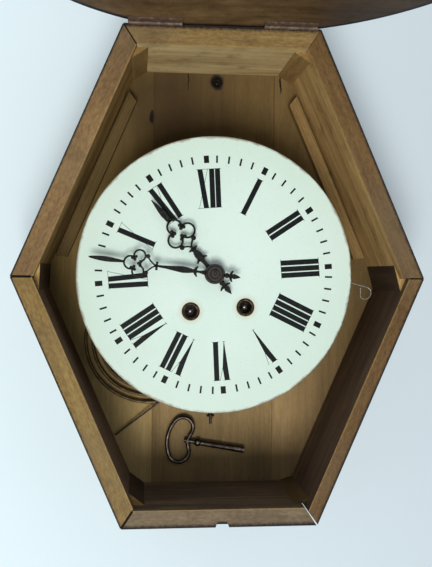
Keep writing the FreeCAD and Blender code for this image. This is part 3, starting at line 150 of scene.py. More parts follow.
# The light: one soft lamp below and in front, as from a window beyond the clock's foot, a pale sky all
# round, and a weak lamp behind that only the back of the case sees.
LAMP_WAY, LAMP_AWAY, LAMP_SIDE, LAMP_WATTS = Vector((-0.14, -1.0, -0.5)).normalized(), 8.0, 3.4, 522.0
BACK_WAY, BACK_AWAY, BACK_SIDE, BACK_WATTS = Vector((0.5, 0.8, 0.5)).normalized(), 1.5, 0.8, 7.0
SKY, SKY_LIGHT, SKY_SEEN = "#EDF3F8", 0.4, 1.0


def hang_lamp(name, way, away, side, watts, tone):
    """A square lamp that hangs a distance away from the case and looks back at it."""
    light = bpy.data.lights.new(name, "AREA")
    light.energy, light.size = watts, side
    light.color = colour(tone)[:3]
    lamp = bpy.data.objects.new(name, light)
    lamp.matrix_world = Matrix.Translation(way * away) @ way.to_track_quat("Z", "Y").to_matrix().to_4x4()
    scene.collection.objects.link(lamp)


hang_lamp("window_lamp", LAMP_WAY, LAMP_AWAY, LAMP_SIDE, LAMP_WATTS, "#FFFDF9")
hang_lamp("back_lamp", BACK_WAY, BACK_AWAY, BACK_SIDE, BACK_WATTS, "#FFFFFF")
world = bpy.data.worlds.new("pale_sky")
scene.world = world
world.use_nodes = True
add = partial(add_node, world.node_tree)
path = [add("LightPath", out="Is " + kind + " Ray") for kind in ("Camera", "Glossy", "Transmission")]
seen = add("Math", [add("Math", [path[0], path[1]], operation="MAXIMUM"), path[2]], operation="MAXIMUM")
strength = add("MapRange", [seen, 0.0, 1.0, SKY_LIGHT, SKY_SEEN])
fill(world.node_tree.nodes["Background"], {"Color": SKY, "Strength": strength})

# The case: six boards of old softwood, mitred and glued into a hexagon. The sawn front edges and the inner
# faces are brown. The lower boards' inner faces are painted darker, as painted shade, and the top board's
# inner face paler, as painted light from below. The outside is stained black, with a thin line of stain that
# runs over onto the front edges.
CASE_FRONT, HALF_HEIGHT, HALF_TOP, HALF_MID = -0.104, 0.207, 0.082, 0.172
SIDE_LEAN = math.atan2(HALF_HEIGHT, HALF_MID - HALF_TOP)
SIDE_REACH = HALF_MID * math.sin(SIDE_LEAN)
# Each layer of grain is so wide and so long, in millimetres, with so much finer detail.
GRAIN_LAYERS = ((22.0, 160.0, 3.0), (3.2, 80.0, 6.0), (1.2, 6.0, 4.0))
FIBRE_LONG, FIBRE_WIDE, EDGE_SKIN = 5.0 * MM, 2.0 * MM, 0.4 * MM
ARRIS_FROM, ARRIS_TO = 2.4 * MM, 0.8 * MM


def dress(material, *names):
    """Gives CAD nodes this finish in place of the plain one that they came with."""
    for name in names:
        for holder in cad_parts[name].material_slots:
            holder.material = material


def blots(size):
    """The scale of a noise whose blots are about this many millimetres wide. A TexNoise takes a place, this
    scale, its detail and its roughness."""
    return 1 / (size * MM)


def grain(add, place, turn, shift=0.0):
    """Sawn wood: growth lines drawn out along the board over slow changes of tone, with short pores.
    Returns the tone from dark 0 to pale 1, and the height for the bump."""
    layers = []
    for wide, long, detail in GRAIN_LAYERS:
        size = (long * MM, wide * MM, wide * MM)
        drawn = add("Mapping", [place, (shift, shift, shift), turn, size])
        layers.append(add("TexNoise", {"Vector": drawn, "Scale": 1.0, "Detail": detail, "Roughness": 0.6,
                                       "Distortion": 0.5}))
    broad, lines, pores = layers
    drawn_lines = add("Math", [lines, 0.5, broad], operation="MULTIPLY_ADD")
    whole = add("Math", [pores, 0.5, drawn_lines], operation="MULTIPLY_ADD")
    tone = add("MapRange", [whole, 0.72, 1.28])
    height = add("Math", [lines, pores], operation="ADD")
    return tone, height


def finish_wood(add, shader, tone, height, depth, roughness=(0.55, 0.8)):
    """Links a wood's colour, its roughness, shinier where it is dark, and its bump of a given depth."""
    rough = add("MapRange", [height, 0.7, 1.3, *roughness])
    bump = add("Bump", {"Height": height, "Distance": depth, "Strength": 0.6})
    fill(shader, {"Base Color": tone, "Roughness": rough, "Normal": bump})


def board_wood(name, lean, side, thick, stain_over, edge_tones, inner_tones):
    """Old softwood of a board that lies at a lean, on the upper or lower side of the case. Its sawn front
    edge is speckled and its inner face isn't. The black stain of the outside fades over the outer arris, and
    the inner arris is painted paler, partly as wear and partly as a painted highlight along it."""
    reach = SIDE_REACH if lean else HALF_HEIGHT
    outward = (math.cos(lean + side * math.pi / 2), 0.0, math.sin(lean + side * math.pi / 2))
    turn = (0.0, -lean, 0.0)
    material, add, shader, place = start_material("old_softwood_" + name, shine=0.25)
    tone, height = grain(add, place, turn, shift=lean + reach)
    fibres = add("Mapping", [place, (0.0, 0.0, 0.0), turn, (FIBRE_LONG, FIBRE_WIDE, FIBRE_WIDE)])
    speck = add("TexNoise", [fibres, 1.0, 5.0, 0.7])
    half_tone = add("Math", [tone, 0.7, -0.55], operation="MULTIPLY_ADD")
    edge_tone = add("Math", [speck, 1.4, half_tone], operation="MULTIPLY_ADD")
    edge = add("ValToRGB", [edge_tone], stops=edge_tones)
    inner = add("ValToRGB", [tone], stops=inner_tones)
    depth = add("SeparateXYZ", [place], out="Y")
    front = add("Math", [depth, CASE_FRONT + EDGE_SKIN], operation="LESS_THAN")
    slow = add("TexNoise", [place, blots(111), 2.0])
    greyed = add("MapRange", [slow, 0.48, 0.7, 0.0, 0.45])
    edge = add("Mix", [greyed, edge, "#6F6149"])
    bare = add("Mix", [front, inner, edge])
    blotch = add("TexNoise", [place, blots(26.3), 4.0, 0.65])
    grime = add("MapRange", [blotch, 0.52, 0.75, 0.0, 0.55])
    surface_tone = add("Mix", [grime, bare, "#4B3820"])
    far = add("VectorMath", [place, outward], operation="DOT_PRODUCT")
    ragged = add("TexNoise", [place, blots(2.38), 2.0])
    # The inner arris is painted paler: partly wear, partly a painted highlight along the arris.
    ragged_far = add("Math", [ragged, 2 * MM, far], operation="MULTIPLY_ADD")
    worn_lit_arris = add("MapRange", [ragged_far, reach - thick + ARRIS_FROM, reach - thick + ARRIS_TO, 0.0, 0.4])
    paler_share = add("Math", [worn_lit_arris, front], operation="MULTIPLY")
    surface_tone = add("Mix", [paler_share, surface_tone, "#B39256"])
    over = add("Math", [ragged, stain_over, far], operation="MULTIPLY_ADD")
    darkened = add("MapRange", [over, reach - stain_over, reach])
    black = add("ValToRGB", [tone], stops=((0.0, "#120E0E"), (0.6, "#1E1816"), (1.0, "#33261C")))
    whole = add("Mix", [darkened, surface_tone, black])
    finish_wood(add, shader, whole, height, 0.4 * MM)
    return material


# Inner tones of the lower and bottom boards are painted shade; the top board's inner tones are painted light.
UPPER_EDGE, UPPER_INNER = ("#503B22", "#7D613E", "#9A7E53"), ("#5F4A28", "#8E6F3F", "#AB8E56")
TOP_EDGE, TOP_INNER_LIT = ("#604C2C", "#886E41", "#A38A5A"), ("#967D50", "#BAA171", "#D3BC8B")
RIGHT_EDGE, RIGHT_INNER = ("#3C2815", "#674C29", "#7F633C"), ("#715434", "#AF8D58", "#CDAF74")
LOWER_EDGE, LOWER_INNER_SHADED = ("#5A4526", "#846A3B", "#A18951"), ("#40312A", "#604C3D", "#846B54")
FOOT_EDGE, FOOT_INNER_SHADED = ("#4A3D2C", "#6D5D47", "#8C7B5D"), ("#42372C", "#665648", "#8E7A60")
# Each board by its lean, its side, its thickness and how far the stain runs over, in millimetres.
for name, lean, side, thick, stain_over, edge_tones, inner_tones in (
        # The top board's stain runs over widest: partly stain, partly painted shade of the gap under the
        # door.
        ("top_board", 0.0, 1, 17.0, 2.8, TOP_EDGE, TOP_INNER_LIT),
        ("upper_right_board", -SIDE_LEAN, 1, 17.0, 1.8, RIGHT_EDGE, RIGHT_INNER),
        ("lower_right_board", SIDE_LEAN, -1, 11.8, 1.8, RIGHT_EDGE, LOWER_INNER_SHADED),
        ("bottom_board", 0.0, -1, 15.0, 2.5, FOOT_EDGE, FOOT_INNER_SHADED),
        ("lower_left_board", -SIDE_LEAN, -1, 16.0, 1.3, LOWER_EDGE, LOWER_INNER_SHADED),
        ("upper_left_board", SIDE_LEAN, 1, 17.0, 1.3, UPPER_EDGE, UPPER_INNER)):
    dress(board_wood(name, lean, side, thick * MM, stain_over * MM, edge_tones, inner_tones), name)

# The mitres have opened a little. All but the lower right one are still full of black glue and dirt, which
# stands just below the front edges and is smeared over them beside the joints.
JOINT_THICKS, MITRE_GAPS, OPEN_MITRE = (17.0, 17.0, 11.8, 11.8, 15.0, 16.0), (0.9, 0.3, 0.5, 1.4, 0.9, 0.7), 3
GLUE_SINK, GLUE_SHARE, BACK_THICK = 0.4, 0.8, 10.0
SMEAR_WIDTHS, SMEAR_PROUD = (1.1, 0.4, 1.2, 0.0, 1.9, 2.0), 0.05


def slabs(plans, back, front):
    """Boxes from quads of x, z corners in millimetres, drawn out from one y to another."""
    plans = np.array(plans, float)
    beside = np.roll(plans, -1, axis=1)
    turned = (plans[..., 0] * beside[..., 1] - plans[..., 1] * beside[..., 0]).sum(axis=1) < 0
    plans[turned] = plans[turned][:, ::-1]
    points = np.empty((len(plans), 2, 4, 3))
    points[..., [0, 2]], points[..., 1] = plans[:, None], np.array([[back], [front]])
    box = np.array([(3, 2, 1, 0), (4, 5, 6, 7), (1, 5, 4, 0), (2, 6, 5, 1), (3, 7, 6, 2), (0, 4, 7, 3)])
    return points.reshape(-1, 3), (8 * np.arange(len(plans))[:, None, None] + box).reshape(-1, 4)


def joined(shells):
    """Several meshes of points and faces as one."""
    starts = np.cumsum([0] + [len(points) for points, _ in shells])
    faces = [[start + corner for corner in face] for start, (_, some) in zip(starts, shells) for face in some]
    return np.concatenate([points for points, _ in shells]), faces


def unit(ways):
    """Each way at length 1."""
    return ways / np.linalg.norm(ways, axis=1, keepdims=True)


corners = np.array([(-HALF_TOP, HALF_HEIGHT), (HALF_TOP, HALF_HEIGHT), (HALF_MID, 0.0),
                    (HALF_TOP, -HALF_HEIGHT), (-HALF_TOP, -HALF_HEIGHT), (-HALF_MID, 0.0)]) / MM
before, after = [unit(np.roll(corners, step, axis=0) - corners) for step in (1, -1)]
way = unit(before + after)
aside = np.stack([way[:, 1], -way[:, 0]], -1)
lengths = np.array(JOINT_THICKS) / np.abs(np.sum(aside * after, axis=1))
first, last = corners + way * 2 * GLUE_SINK, corners + way * (lengths[:, None] - GLUE_SINK)
lines, smears = [
    np.delete(np.stack([first + half, last + half, last - half, first - half], 1), OPEN_MITRE, axis=0)
    for half in (aside * np.array(MITRE_GAPS)[:, None] * GLUE_SHARE / 2,
                 aside * np.array(SMEAR_WIDTHS)[:, None] / 2)]
# Old hide glue, black with dirt: a dull black line.
old_glue, add, shader, place = start_material("blackened_hide_glue", shine=0.1, roughness=0.8)
clots = add("TexNoise", [place, blots(3.33), 3.0])
tone = add("ValToRGB", [clots], stops=((0.3, "#0F0B08"), (0.7, "#211812")))
fill(shader, {"Base Color": tone})
front = CASE_FRONT / MM
glue = make_piece("mitre_glue", *joined([slabs(lines, -BACK_THICK, front + GLUE_SINK),
                                         slabs(smears, front + SMEAR_PROUD, front - SMEAR_PROUD)]), old_glue)
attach(glue, "case")

# The back: three upright planks nailed on behind, sawn and left bare, darker in the middle and painted darker
# towards the top as painted shade. The dark spots, by x, z, half width and half height, are painted shade in
# place of two drying cracks under the top board and a knot hole at the left seam, and the burnt ring of the
# hanging hole.
SEAMS, DARK_PATCH_AT, DARK_PATCH_FROM, DARK_PATCH_TO = (-55.0, 58.0), (-0.048, -0.010, 0.158), 0.09, 0.02
SPOTS = ((64.0, 182.0, 0.8, 9.0), (-23.0, 184.0, 0.5, 10.0), (-56.5, 149.0, 2.2, 6.0), (4.0, 182.0, 6.2, 7.2))
SPOT_DEEP, WANDER, PALE_BELOW, DARK_FOOT = 5.0 * MM, 3.0 * MM, -0.13, -0.195

planks, add, shader, place = start_material("bare_sawn_planks", shine=0.2)
tone, height = grain(add, place, (0.0, -math.pi / 2, 0.0))
tones = [add("ValToRGB", [tone], stops=three) for three in (
    ("#A38A58", "#BFA16A", "#D4B57D"), ("#806A46", "#997E55", "#AE9266"), ("#886F4B", "#A08359", "#B4976B"))]
x, z = [add("SeparateXYZ", [place], out=axis) for axis in "XZ"]
bare = tones[0]
for seam, next_tone in zip(SEAMS, tones[1:]):
    beyond = add("Math", [x, seam * MM], operation="GREATER_THAN")
    bare = add("Mix", [beyond, bare, next_tone])
# Painted shade by height: darker towards the top and palest a little above the foot; it darkens again at the
# foot.
height_share = add("MapRange", [z, DARK_FOOT, 0.0])
palest = 1 - PALE_BELOW / DARK_FOOT
shade = add("ValToRGB", [height_share],
            stops=((0.0, "#D2D5D8"), (0.16, "#F2F5F7"), (palest, "#FCFFFF"), (1.0, "#AEAC9B")))
bare = add("Mix", [1.0, bare, shade], blend_type="MULTIPLY")
# Darker about the top of the left seam.
from_stain = add("VectorMath", [place, DARK_PATCH_AT], operation="DISTANCE")
darkened = add("MapRange", [from_stain, DARK_PATCH_FROM, DARK_PATCH_TO, 0.0, 0.8])
bare = add("Mix", [darkened, bare, "#392A17"])
wander = add("TexNoise", [place, blots(8.33), 2.0], out="Color")
wandered = add("VectorMath", [wander, (WANDER, 0.0, WANDER), place], operation="MULTIPLY_ADD")
for spot_x, spot_z, half_wide, half_tall in np.array(SPOTS) * MM:
    spot_at = (spot_x + WANDER / 2, -BACK_THICK * MM, spot_z + WANDER / 2)
    aside = add("Mapping", [wandered, spot_at, (0.0, 0.0, 0.0), (half_wide, SPOT_DEEP, half_tall)])
    away = add("VectorMath", [aside], operation="LENGTH")
    spot = add("MapRange", [away, 1.2, 0.8])
    bare = add("Mix", [spot, bare, "#150F09"])
finish_wood(add, shader, bare, height, 0.5 * MM, roughness=(0.65, 0.9))
dress(planks, "back_board")

# The seams between the planks are packed with brown dirt, so that no light comes through them. Like the
# planks, it is painted darker higher up as painted shade.
SEAM_HALF, SEAM_SINK, SEAM_END = 0.25, 0.1, 206.0

packed = [[(seam - SEAM_HALF, -SEAM_END), (seam + SEAM_HALF, -SEAM_END), (seam + SEAM_HALF, SEAM_END),
           (seam - SEAM_HALF, SEAM_END)] for seam in SEAMS]
brown_dirt, add, shader, place = start_material("packed_brown_dirt", shine=0.1, roughness=0.9)
clots = add("TexNoise", [place, blots(4), 3.0])
lower = add("ValToRGB", [clots], stops=((0.3, "#6B5738"), (0.7, "#8A7150")))
upper = add("ValToRGB", [clots], stops=((0.3, "#3C2E1C"), (0.7, "#58462C")))
rise = add("SeparateXYZ", [place], out="Z")
above = add("MapRange", [rise, PALE_BELOW, 0.0])
fill(shader, {"Base Color": add("Mix", [above, lower, upper])})
dirt = make_piece("plank_seam_dirt", *slabs(packed, -SEAM_SINK, SEAM_SINK - BACK_THICK), brown_dirt)
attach(dirt, "case")

# The hanging hole in the back is worn and burnt out. A ragged dark lining fills it but for a small opening:
# partly burnt wood, partly a dark piece put in as painted shade inside the hole.
HANG_AT, HANG_R, HANG_OPEN_R, HANG_UNEVEN = (4.0, 182.0), 3.9, 1.5, 0.12


def grid_faces(rows, columns, ring=False):
    """Quads between neighbours in a grid of closed rows of points. In a ring the last row joins the first,
    and otherwise a flat face covers each end."""
    row, column = np.meshgrid(np.arange(rows if ring else rows - 1), np.arange(columns), indexing="ij")
    here, below, beside = row * columns, (row + 1) % rows * columns, (column + 1) % columns
    corners = [here + column, here + beside, below + beside, below + column]
    quads = np.stack(corners, -1).reshape(-1, 4).tolist()
    ends = [list(range(columns))[::-1], list(range((rows - 1) * columns, rows * columns))]
    return quads if ring else quads + ends


def lathe(profile, at, sides=64, ring=False, uneven=0.0):
    """A profile of radius and y turned about a line along y at an x, z place. A closed profile makes a ring,
    and an open one is capped flat at both ends. An uneven ring's radius wanders by a share, in two waves."""
    profile = np.asarray(profile, float)
    angle = np.linspace(0, 2 * np.pi, sides, endpoint=False)
    radius = profile[:, :1] * (1 + uneven * (np.sin(3 * angle) + np.sin(7 * angle + 1)) / 2)
    points = np.stack([at[0] + radius * np.cos(angle), profile[:, 1:] + 0 * angle,
                       at[1] + radius * np.sin(angle)], -1)
    return points.reshape(-1, 3), grid_faces(len(profile), sides, ring)


lining_profile = [(HANG_OPEN_R, -0.5), (HANG_R, -0.5), (HANG_R, -BACK_THICK + 1.2), (2.8, -BACK_THICK + 2.0),
        (HANG_OPEN_R, -BACK_THICK + 3.0)]
shade_lining = make_piece("hanging_hole_burnt_shade_lining", *lathe(lining_profile, HANG_AT, ring=True, uneven=HANG_UNEVEN), old_glue)
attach(shade_lining, "case")

# Glue blocks in the six corners: offcuts, rough sawn, olive brown above and at the lower right, nearly black
# at the others, with paler end grain to the front. The lower right one is found by x less z.
UPPER_FROM, UPPER_TO, FOOT_FROM, FOOT_TO = 0.02, 0.04, 0.24, 0.22

offcuts, add, shader, place = start_material("rough_sawn_offcuts", shine=0.25)
tone, height = grain(add, place, (0.0, 0.0, math.pi / 2), shift=0.3)
upper, lower, olive, upper_end, lower_end = [add("ValToRGB", [tone], stops=three) for three in (
    ("#5A4426", "#86693D", "#A58A58"), ("#241914", "#3A2C22", "#57452F"), ("#44371F", "#5F4E2E", "#7C6840"),
    ("#5E4827", "#87693A", "#A58850"), ("#7C6136", "#AA894F", "#C6A86C"))]
beside, rise = [add("SeparateXYZ", [place], out=axis) for axis in "XZ"]
above = add("MapRange", [rise, UPPER_FROM, UPPER_TO])
side = add("Mix", [above, lower, upper])
facing = add("SeparateXYZ", [add("NewGeometry", out="Normal")], out="Y")
to_front = add("Math", [facing, -0.9], operation="LESS_THAN")
elsewhere = add("MapRange", [add("Math", [beside, rise], operation="SUBTRACT"), FOOT_FROM, FOOT_TO])
at_foot = add("Math", [elsewhere, 0.5], operation="LESS_THAN")
side = add("Mix", [at_foot, side, olive])
end = add("Mix", [above, lower_end, upper_end])
paler = add("Math", [to_front, elsewhere], operation="MULTIPLY")
sawn = add("Mix", [paler, side, end])
finish_wood(add, shader, sawn, height, 0.5 * MM)
dress(offcuts, "corner_blocks")

# A batten along each upper board, nailed to the back: the same sawn wood as the boards, grain along it.
# The two battens mirror each other, so the grain is laid on the size of x, and the left one is painted darker
# as painted shade.
strip_wood, add, shader, place = start_material("sawn_batten_wood", shine=0.25)
mirrored_place = add("VectorMath", [place], operation="ABSOLUTE")
tone, height = grain(add, mirrored_place, (0.0, SIDE_LEAN, 0.0), shift=0.5)
shaded_tone, paler = [add("ValToRGB", [tone], stops=three)
                 for three in (("#3A2E18", "#594724", "#705B33"), ("#544224", "#7C6238", "#997C4C"))]
beside = add("SeparateXYZ", [place], out="X")
to_right = add("Math", [beside, 0.0], operation="GREATER_THAN")
sawn = add("Mix", [to_right, shaded_tone, paler])
finish_wood(add, shader, sawn, height, 0.5 * MM)
dress(strip_wood, "battens")

# The movement: round brass plates on turned pillars, cut brass wheels and drums, left to go dull behind
# the dial, with steel arbors, springs, clicks and screws.


def metal(name, tones, roughness, spot_mm, metallic=1.0, shine=0.5):
    """A metal that has dulled in patches of a given size: colour and roughness wander together."""
    material, add, shader, place = start_material(name, shine, inputs={"Metallic": metallic})
    dull = add("TexNoise", [place, blots(spot_mm), 5.0, 0.6])
    spread = add("MapRange", [dull, 0.32, 0.68])
    tone = add("ValToRGB", [spread], stops=tones)
    rough = add("MapRange", [spread, 0.0, 1.0, roughness[1], roughness[0]])
    bump = add("Bump", {"Height": dull, "Distance": 0.1 * MM, "Strength": 0.3})
    fill(shader, {"Base Color": tone, "Roughness": rough, "Normal": bump})
    return material


# Cut and lacquered brass gone brown in spots: warm yellow with soft highlights.
dress(metal("aged_cut_brass", ("#7A5B2A", "#B08D4A", "#CDAE68"), (0.28, 0.5), 6.0),
      "back_plate", "front_plate", "plate_pillars", "second_wheel", "third_wheel", "escape_wheel",
      "going_barrel", "strike_barrel", "strike_second_wheel", "pin_wheel", "locking_wheel", "fly",
      "minute_wheel", "hour_wheel", "cannon_pinion", "suspension_cock", "pendulum_bob")
# Turned and filed steel: grey with a satin shine.
dress(metal("turned_steel", ("#5C5A58", "#8A8886", "#A9A7A4"), (0.25, 0.42), 3.0),
      "anchor", "going_click", "strike_click", "click_springs", "hammer", "suspension_spring",
      "going_mainspring", "strike_mainspring", "hinge_screws")
# Oiled steel, turned and filed, gone nearly black: only its edges catch the light.
dress(metal("oiled_black_steel", ("#171412", "#2A2420", "#453C34"), (0.22, 0.4), 3.0, metallic=0.7),
      "going_winding_arbor", "strike_winding_arbor", "pendulum_rod")
# Black japanned iron: nearly black with a low shine.
dress(metal("japanned_cast_iron", ("#171514", "#24211F", "#33302C"), (0.4, 0.6), 2.0, metallic=0.2),
      "gong_stand", "movement_posts")
# Rolled zinc: flat bluish grey.
dress(metal("rolled_zinc_sheet", ("#7C8286", "#969C9F", "#ABB0B2"), (0.4, 0.55), 8.0), "dial_plate")

# The gong: one length of hardened steel wire wound into a flat spiral, gripped by the stand at its inner end.
# The wire leaves the stand, makes a small half turn and then widening half turns.
GONG_AT, GONG_Y, GONG_WIRE_R = (-59.4, -57.8), -13.5, 1.5
GONG_OUTER, GONG_PITCH, GONG_HALF_TURNS = 58.5, 6.4, 12


def sweep(path, offsets, levels):
    """A closed section carried along a path in a plane of equal y: at each point of the path it goes some way
    across, by the offsets, at the levels of y. The ends are capped."""
    run = unit(np.gradient(path, axis=0))
    sideways = np.stack([run[:, 1], -run[:, 0]], -1)
    plan = path[:, None, :] + sideways[:, None, :] * offsets[..., None]
    points = np.stack([plan[..., 0], np.broadcast_to(levels, plan.shape[:2]), plan[..., 1]], -1)
    return points.reshape(-1, 3), grid_faces(len(path), len(levels))


def round_wire(path, y, radius, sides=14):
    """A round wire along a path: the cosine of the round angle goes across it, and the sine along y."""
    angle = np.linspace(0, 2 * np.pi, sides, endpoint=False)
    return sweep(path, radius * np.cos(angle)[None], y + radius * np.sin(angle))


def arc(centre, radius, start, stop, count=40, with_last=True):
    """Points of an arc about an x, z centre, from one clock angle to another, in degrees."""
    angle = np.radians(np.linspace(start, stop, count, endpoint=with_last))
    return np.stack([centre[0] + radius * np.sin(angle), centre[1] + radius * np.cos(angle)], -1)


inner_r = GONG_OUTER - (GONG_HALF_TURNS - 1) * GONG_PITCH / 2
start_x = GONG_AT[0] - GONG_PITCH / 4
turns = [[(start_x, GONG_AT[1] + 2 * GONG_WIRE_R), (start_x, GONG_AT[1] + GONG_WIRE_R)],
         arc((start_x + inner_r / 2, GONG_AT[1]), inner_r / 2, -90, -270, 24, with_last=False)]
for k in range(GONG_HALF_TURNS):
    lower, centre = 180 * (k % 2), (GONG_AT[0] + (k % 2 - 0.5) * GONG_PITCH / 2, GONG_AT[1])
    turns.append(arc(centre, inner_r + k * GONG_PITCH / 2, 90 - lower, -90 - lower, 48, with_last=False))
# Browned spring steel: dark brown, with only a faint line of light along the wire.
coil_steel = metal("browned_spring_steel", ("#46371F", "#5E4A2C", "#7C6641"), (0.4, 0.6), 5.0, metallic=0.4)
coil = make_piece("gong_wire", *round_wire(np.concatenate(turns), GONG_Y, GONG_WIRE_R), coil_steel)
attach(coil, "case")
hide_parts("gong_coil")
# Drawn iron wire, rusty brown, for the stay beside the gong.
dress(metal("rusty_drawn_iron_wire", ("#2A211A", "#43362A", "#5E4E3E"), (0.45, 0.65), 2.5, metallic=0.4),
      "stay_wire")

# The repeat pull: a small hub on a stud of the front plate, with a long wire driven into it. The wire runs
# straight out past the dial and is bent round by hand into a D that hangs from it. The plate, like the dial,
# is turned a little in the case.
DIAL_AT, DIAL_TURN = (-2.4, 2.2), -4.4
PULL_HUB_AT, PULL_HUB_R, PULL_BORE_R, PULL_BACK, PULL_THICK = (36.0, 14.0), 4.0, 1.55, -62.2, 2.0
PULL_WIRE_R, PULL_BEVEL, LOOP_AT, LOOP_R = 0.55, 0.3, (132.3, -13.05), 5.4
LOOP_SIDE_X, LOOP_CORNER_R, LOOP_END_Z = 128.1, 3.2, -8.6


def clockwise(places, degrees):
    """Turns x, z places clockwise about the origin, as seen from the front."""
    angle = math.radians(degrees)
    turn = np.array([[math.cos(angle), -math.sin(angle)], [math.sin(angle), math.cos(angle)]])
    return np.asarray(places, float) @ turn


def on_dial(places):
    """Carries x, z places in millimetres from the dial's own upright frame to the turned dial."""
    return clockwise(places, DIAL_TURN) + DIAL_AT


hub_at = on_dial([PULL_HUB_AT])[0]
to_loop = np.array(LOOP_AT) - hub_at
heading = math.atan2(to_loop[1], to_loop[0]) + math.asin(LOOP_R / np.linalg.norm(to_loop))
wire_way = np.array([math.cos(heading), math.sin(heading)])
straight_run = hub_at + np.outer(((PULL_HUB_R + PULL_BORE_R) / 2, 2 * PULL_HUB_R), wire_way)
bend = arc(LOOP_AT, LOOP_R, -math.degrees(heading), 180)
corner_at = (LOOP_SIDE_X + LOOP_CORNER_R, LOOP_AT[1] - LOOP_R + LOOP_CORNER_R)
corner = arc(corner_at, LOOP_CORNER_R, 180, 270, 14)
pull_path = np.concatenate([straight_run, bend, corner, [(LOOP_SIDE_X, LOOP_END_Z)]])
hub_front = PULL_BACK - PULL_THICK
hub_ring = [(PULL_BORE_R, PULL_BACK), (PULL_HUB_R, PULL_BACK), (PULL_HUB_R, hub_front + PULL_BEVEL),
            (PULL_HUB_R - PULL_BEVEL, hub_front), (PULL_BORE_R, hub_front)]
# Drawn and tinned wire: plain pale grey.
tinned_wire = metal("tinned_drawn_wire", ("#625C55", "#878178", "#A7A197"), (0.35, 0.5), 2.5, metallic=0.5)
pull = make_piece("repeat_pull_wire", *joined([
    lathe(hub_ring, hub_at, sides=48, ring=True),
    round_wire(pull_path, PULL_BACK - PULL_THICK / 2, PULL_WIRE_R)]), tinned_wire)
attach(pull, "repeat_lever")
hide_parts("repeat_lever")

# The dial: a disc of opaque milk glass with a ground and polished edge, faintly green, held to a zinc plate
# by the two winding eyelets. It is painted darker and greener towards its rim, as painted shade, and darker
# and yellower round the eyelets, and dirt sits in the chipped edge.
DIAL_R, DIAL_FRONT, WINDING_AT = 119.0, -77.0, ((23.6, -29.7), (-23.6, -29.7))
CLEAR_R, EYELET_RING_FROM, EYELET_RING_TO, CHIP_DEEP, RIM_FROM, RIM_TO = 30.0, 12.5, 8.0, 6.0, 0.7, 2.7


def from_axis(add, place, at):
    """How far a place is from a line along y at an x, z place in millimetres."""
    flat = add("VectorMath", [place, (1.0, 0.0, 1.0)], operation="MULTIPLY")
    return add("VectorMath", [flat, (at[0] * MM, 0.0, at[1] * MM)], operation="DISTANCE")


milk_glass, add, shader, place = start_material("polished_milk_glass", roughness=0.16)
cloud = add("TexNoise", [place, blots(71.4), 3.0])
tone = add("ValToRGB", [cloud], stops=((0.3, "#D8EDE2"), (0.55, "#DEF1E8"), (0.8, "#E2F3EC")))
specks = add("TexNoise", [place, blots(1.11), 2.0])
dust = add("MapRange", [specks, 0.66, 0.74, 0.0, 0.35])
from_middle = from_axis(add, place, DIAL_AT)
outer = add("MapRange", [from_middle, CLEAR_R * MM, DIAL_R * MM, 0.0, 0.6])
tone = add("Mix", [outer, tone, "#CDE1D0"])
dusty = add("Mix", [dust, tone, "#A9AFA0"])
for at in on_dial(WINDING_AT):
    eyelet_ring = add("MapRange", [from_axis(add, place, at), EYELET_RING_FROM * MM, EYELET_RING_TO * MM, 0.0, 0.45])
    dusty = add("Mix", [eyelet_ring, dusty, "#CFC4A0"])
chips = add("TexNoise", [place, blots(14.3), 4.0, 0.65])
uneven = add("Math", [chips, CHIP_DEEP * MM, from_middle], operation="MULTIPLY_ADD")
rim = add("MapRange", [uneven, (DIAL_R + RIM_FROM) * MM, (DIAL_R + RIM_TO) * MM, 0.0, 0.8])
fill(shader, {"Base Color": add("Mix", [rim, dusty, "#7F6A50"])})
dress(milk_glass, "dial")

# The hour numerals and the minute track are fired on the dial in black enamel. For a numeral turned upright u
# runs to the right and v outwards. Each letter is given by the u of its left edge at the outer end, and the
# lean is how far its foot stands to the side.
NUMERAL_TOP, NUMERAL_FOOT, BAR_WIDE, HAIR, SERIF = 90.8, 57.6, 4.4, 0.32, 1.0
PRINT_SHIFT, PAINT = (-0.7, 0.0), 0.08
NUMERALS = {12: ("XII", (-8.8, 1.3, 6.3), -1.0), 1: ("I", (-2.85,), -0.4), 2: ("II", (-6.3, -0.84), -0.4),
            3: ("III", (-7.84, -2.4, 2.9), -0.4), 4: ("IIII", (-9.86, -4.3, 1.0, 6.26), -0.4),
            5: ("V", (-3.7,), 0.0), 6: ("VI", (-6.6, 2.4), -1.0), 7: ("VII", (-11.0, -1.6, 4.06), -0.4),
            8: ("VIII", (-13.8, -5.35, 0.1, 5.6), -0.4), 9: ("IX", (-5.25, 0.5), -0.4),
            10: ("X", (-3.6,), 0.0), 11: ("XI", (-7.36, 1.56), -0.4)}
V_KINK, V_LEAN, V_RIGHT, V_FOOT, V_SPREAD, V_HAIR_FOOT = 80.2, 2.9, 5.55, (2.8, 3.2), 8.1, 5.4
CROSS_LEAN, CROSS_SPREAD, CROSS_FOOT = {12: 3.5, 11: 3.0, 10: 2.0, 9: 1.3}, 8.6, -0.5


def stroke(u0, v0, u1, v1, wide):
    """The corners of a slanted bar of equal width along u between two ends."""
    return [(u0, v0), (u0 + wide, v0), (u1 + wide, v1), (u1, v1)]


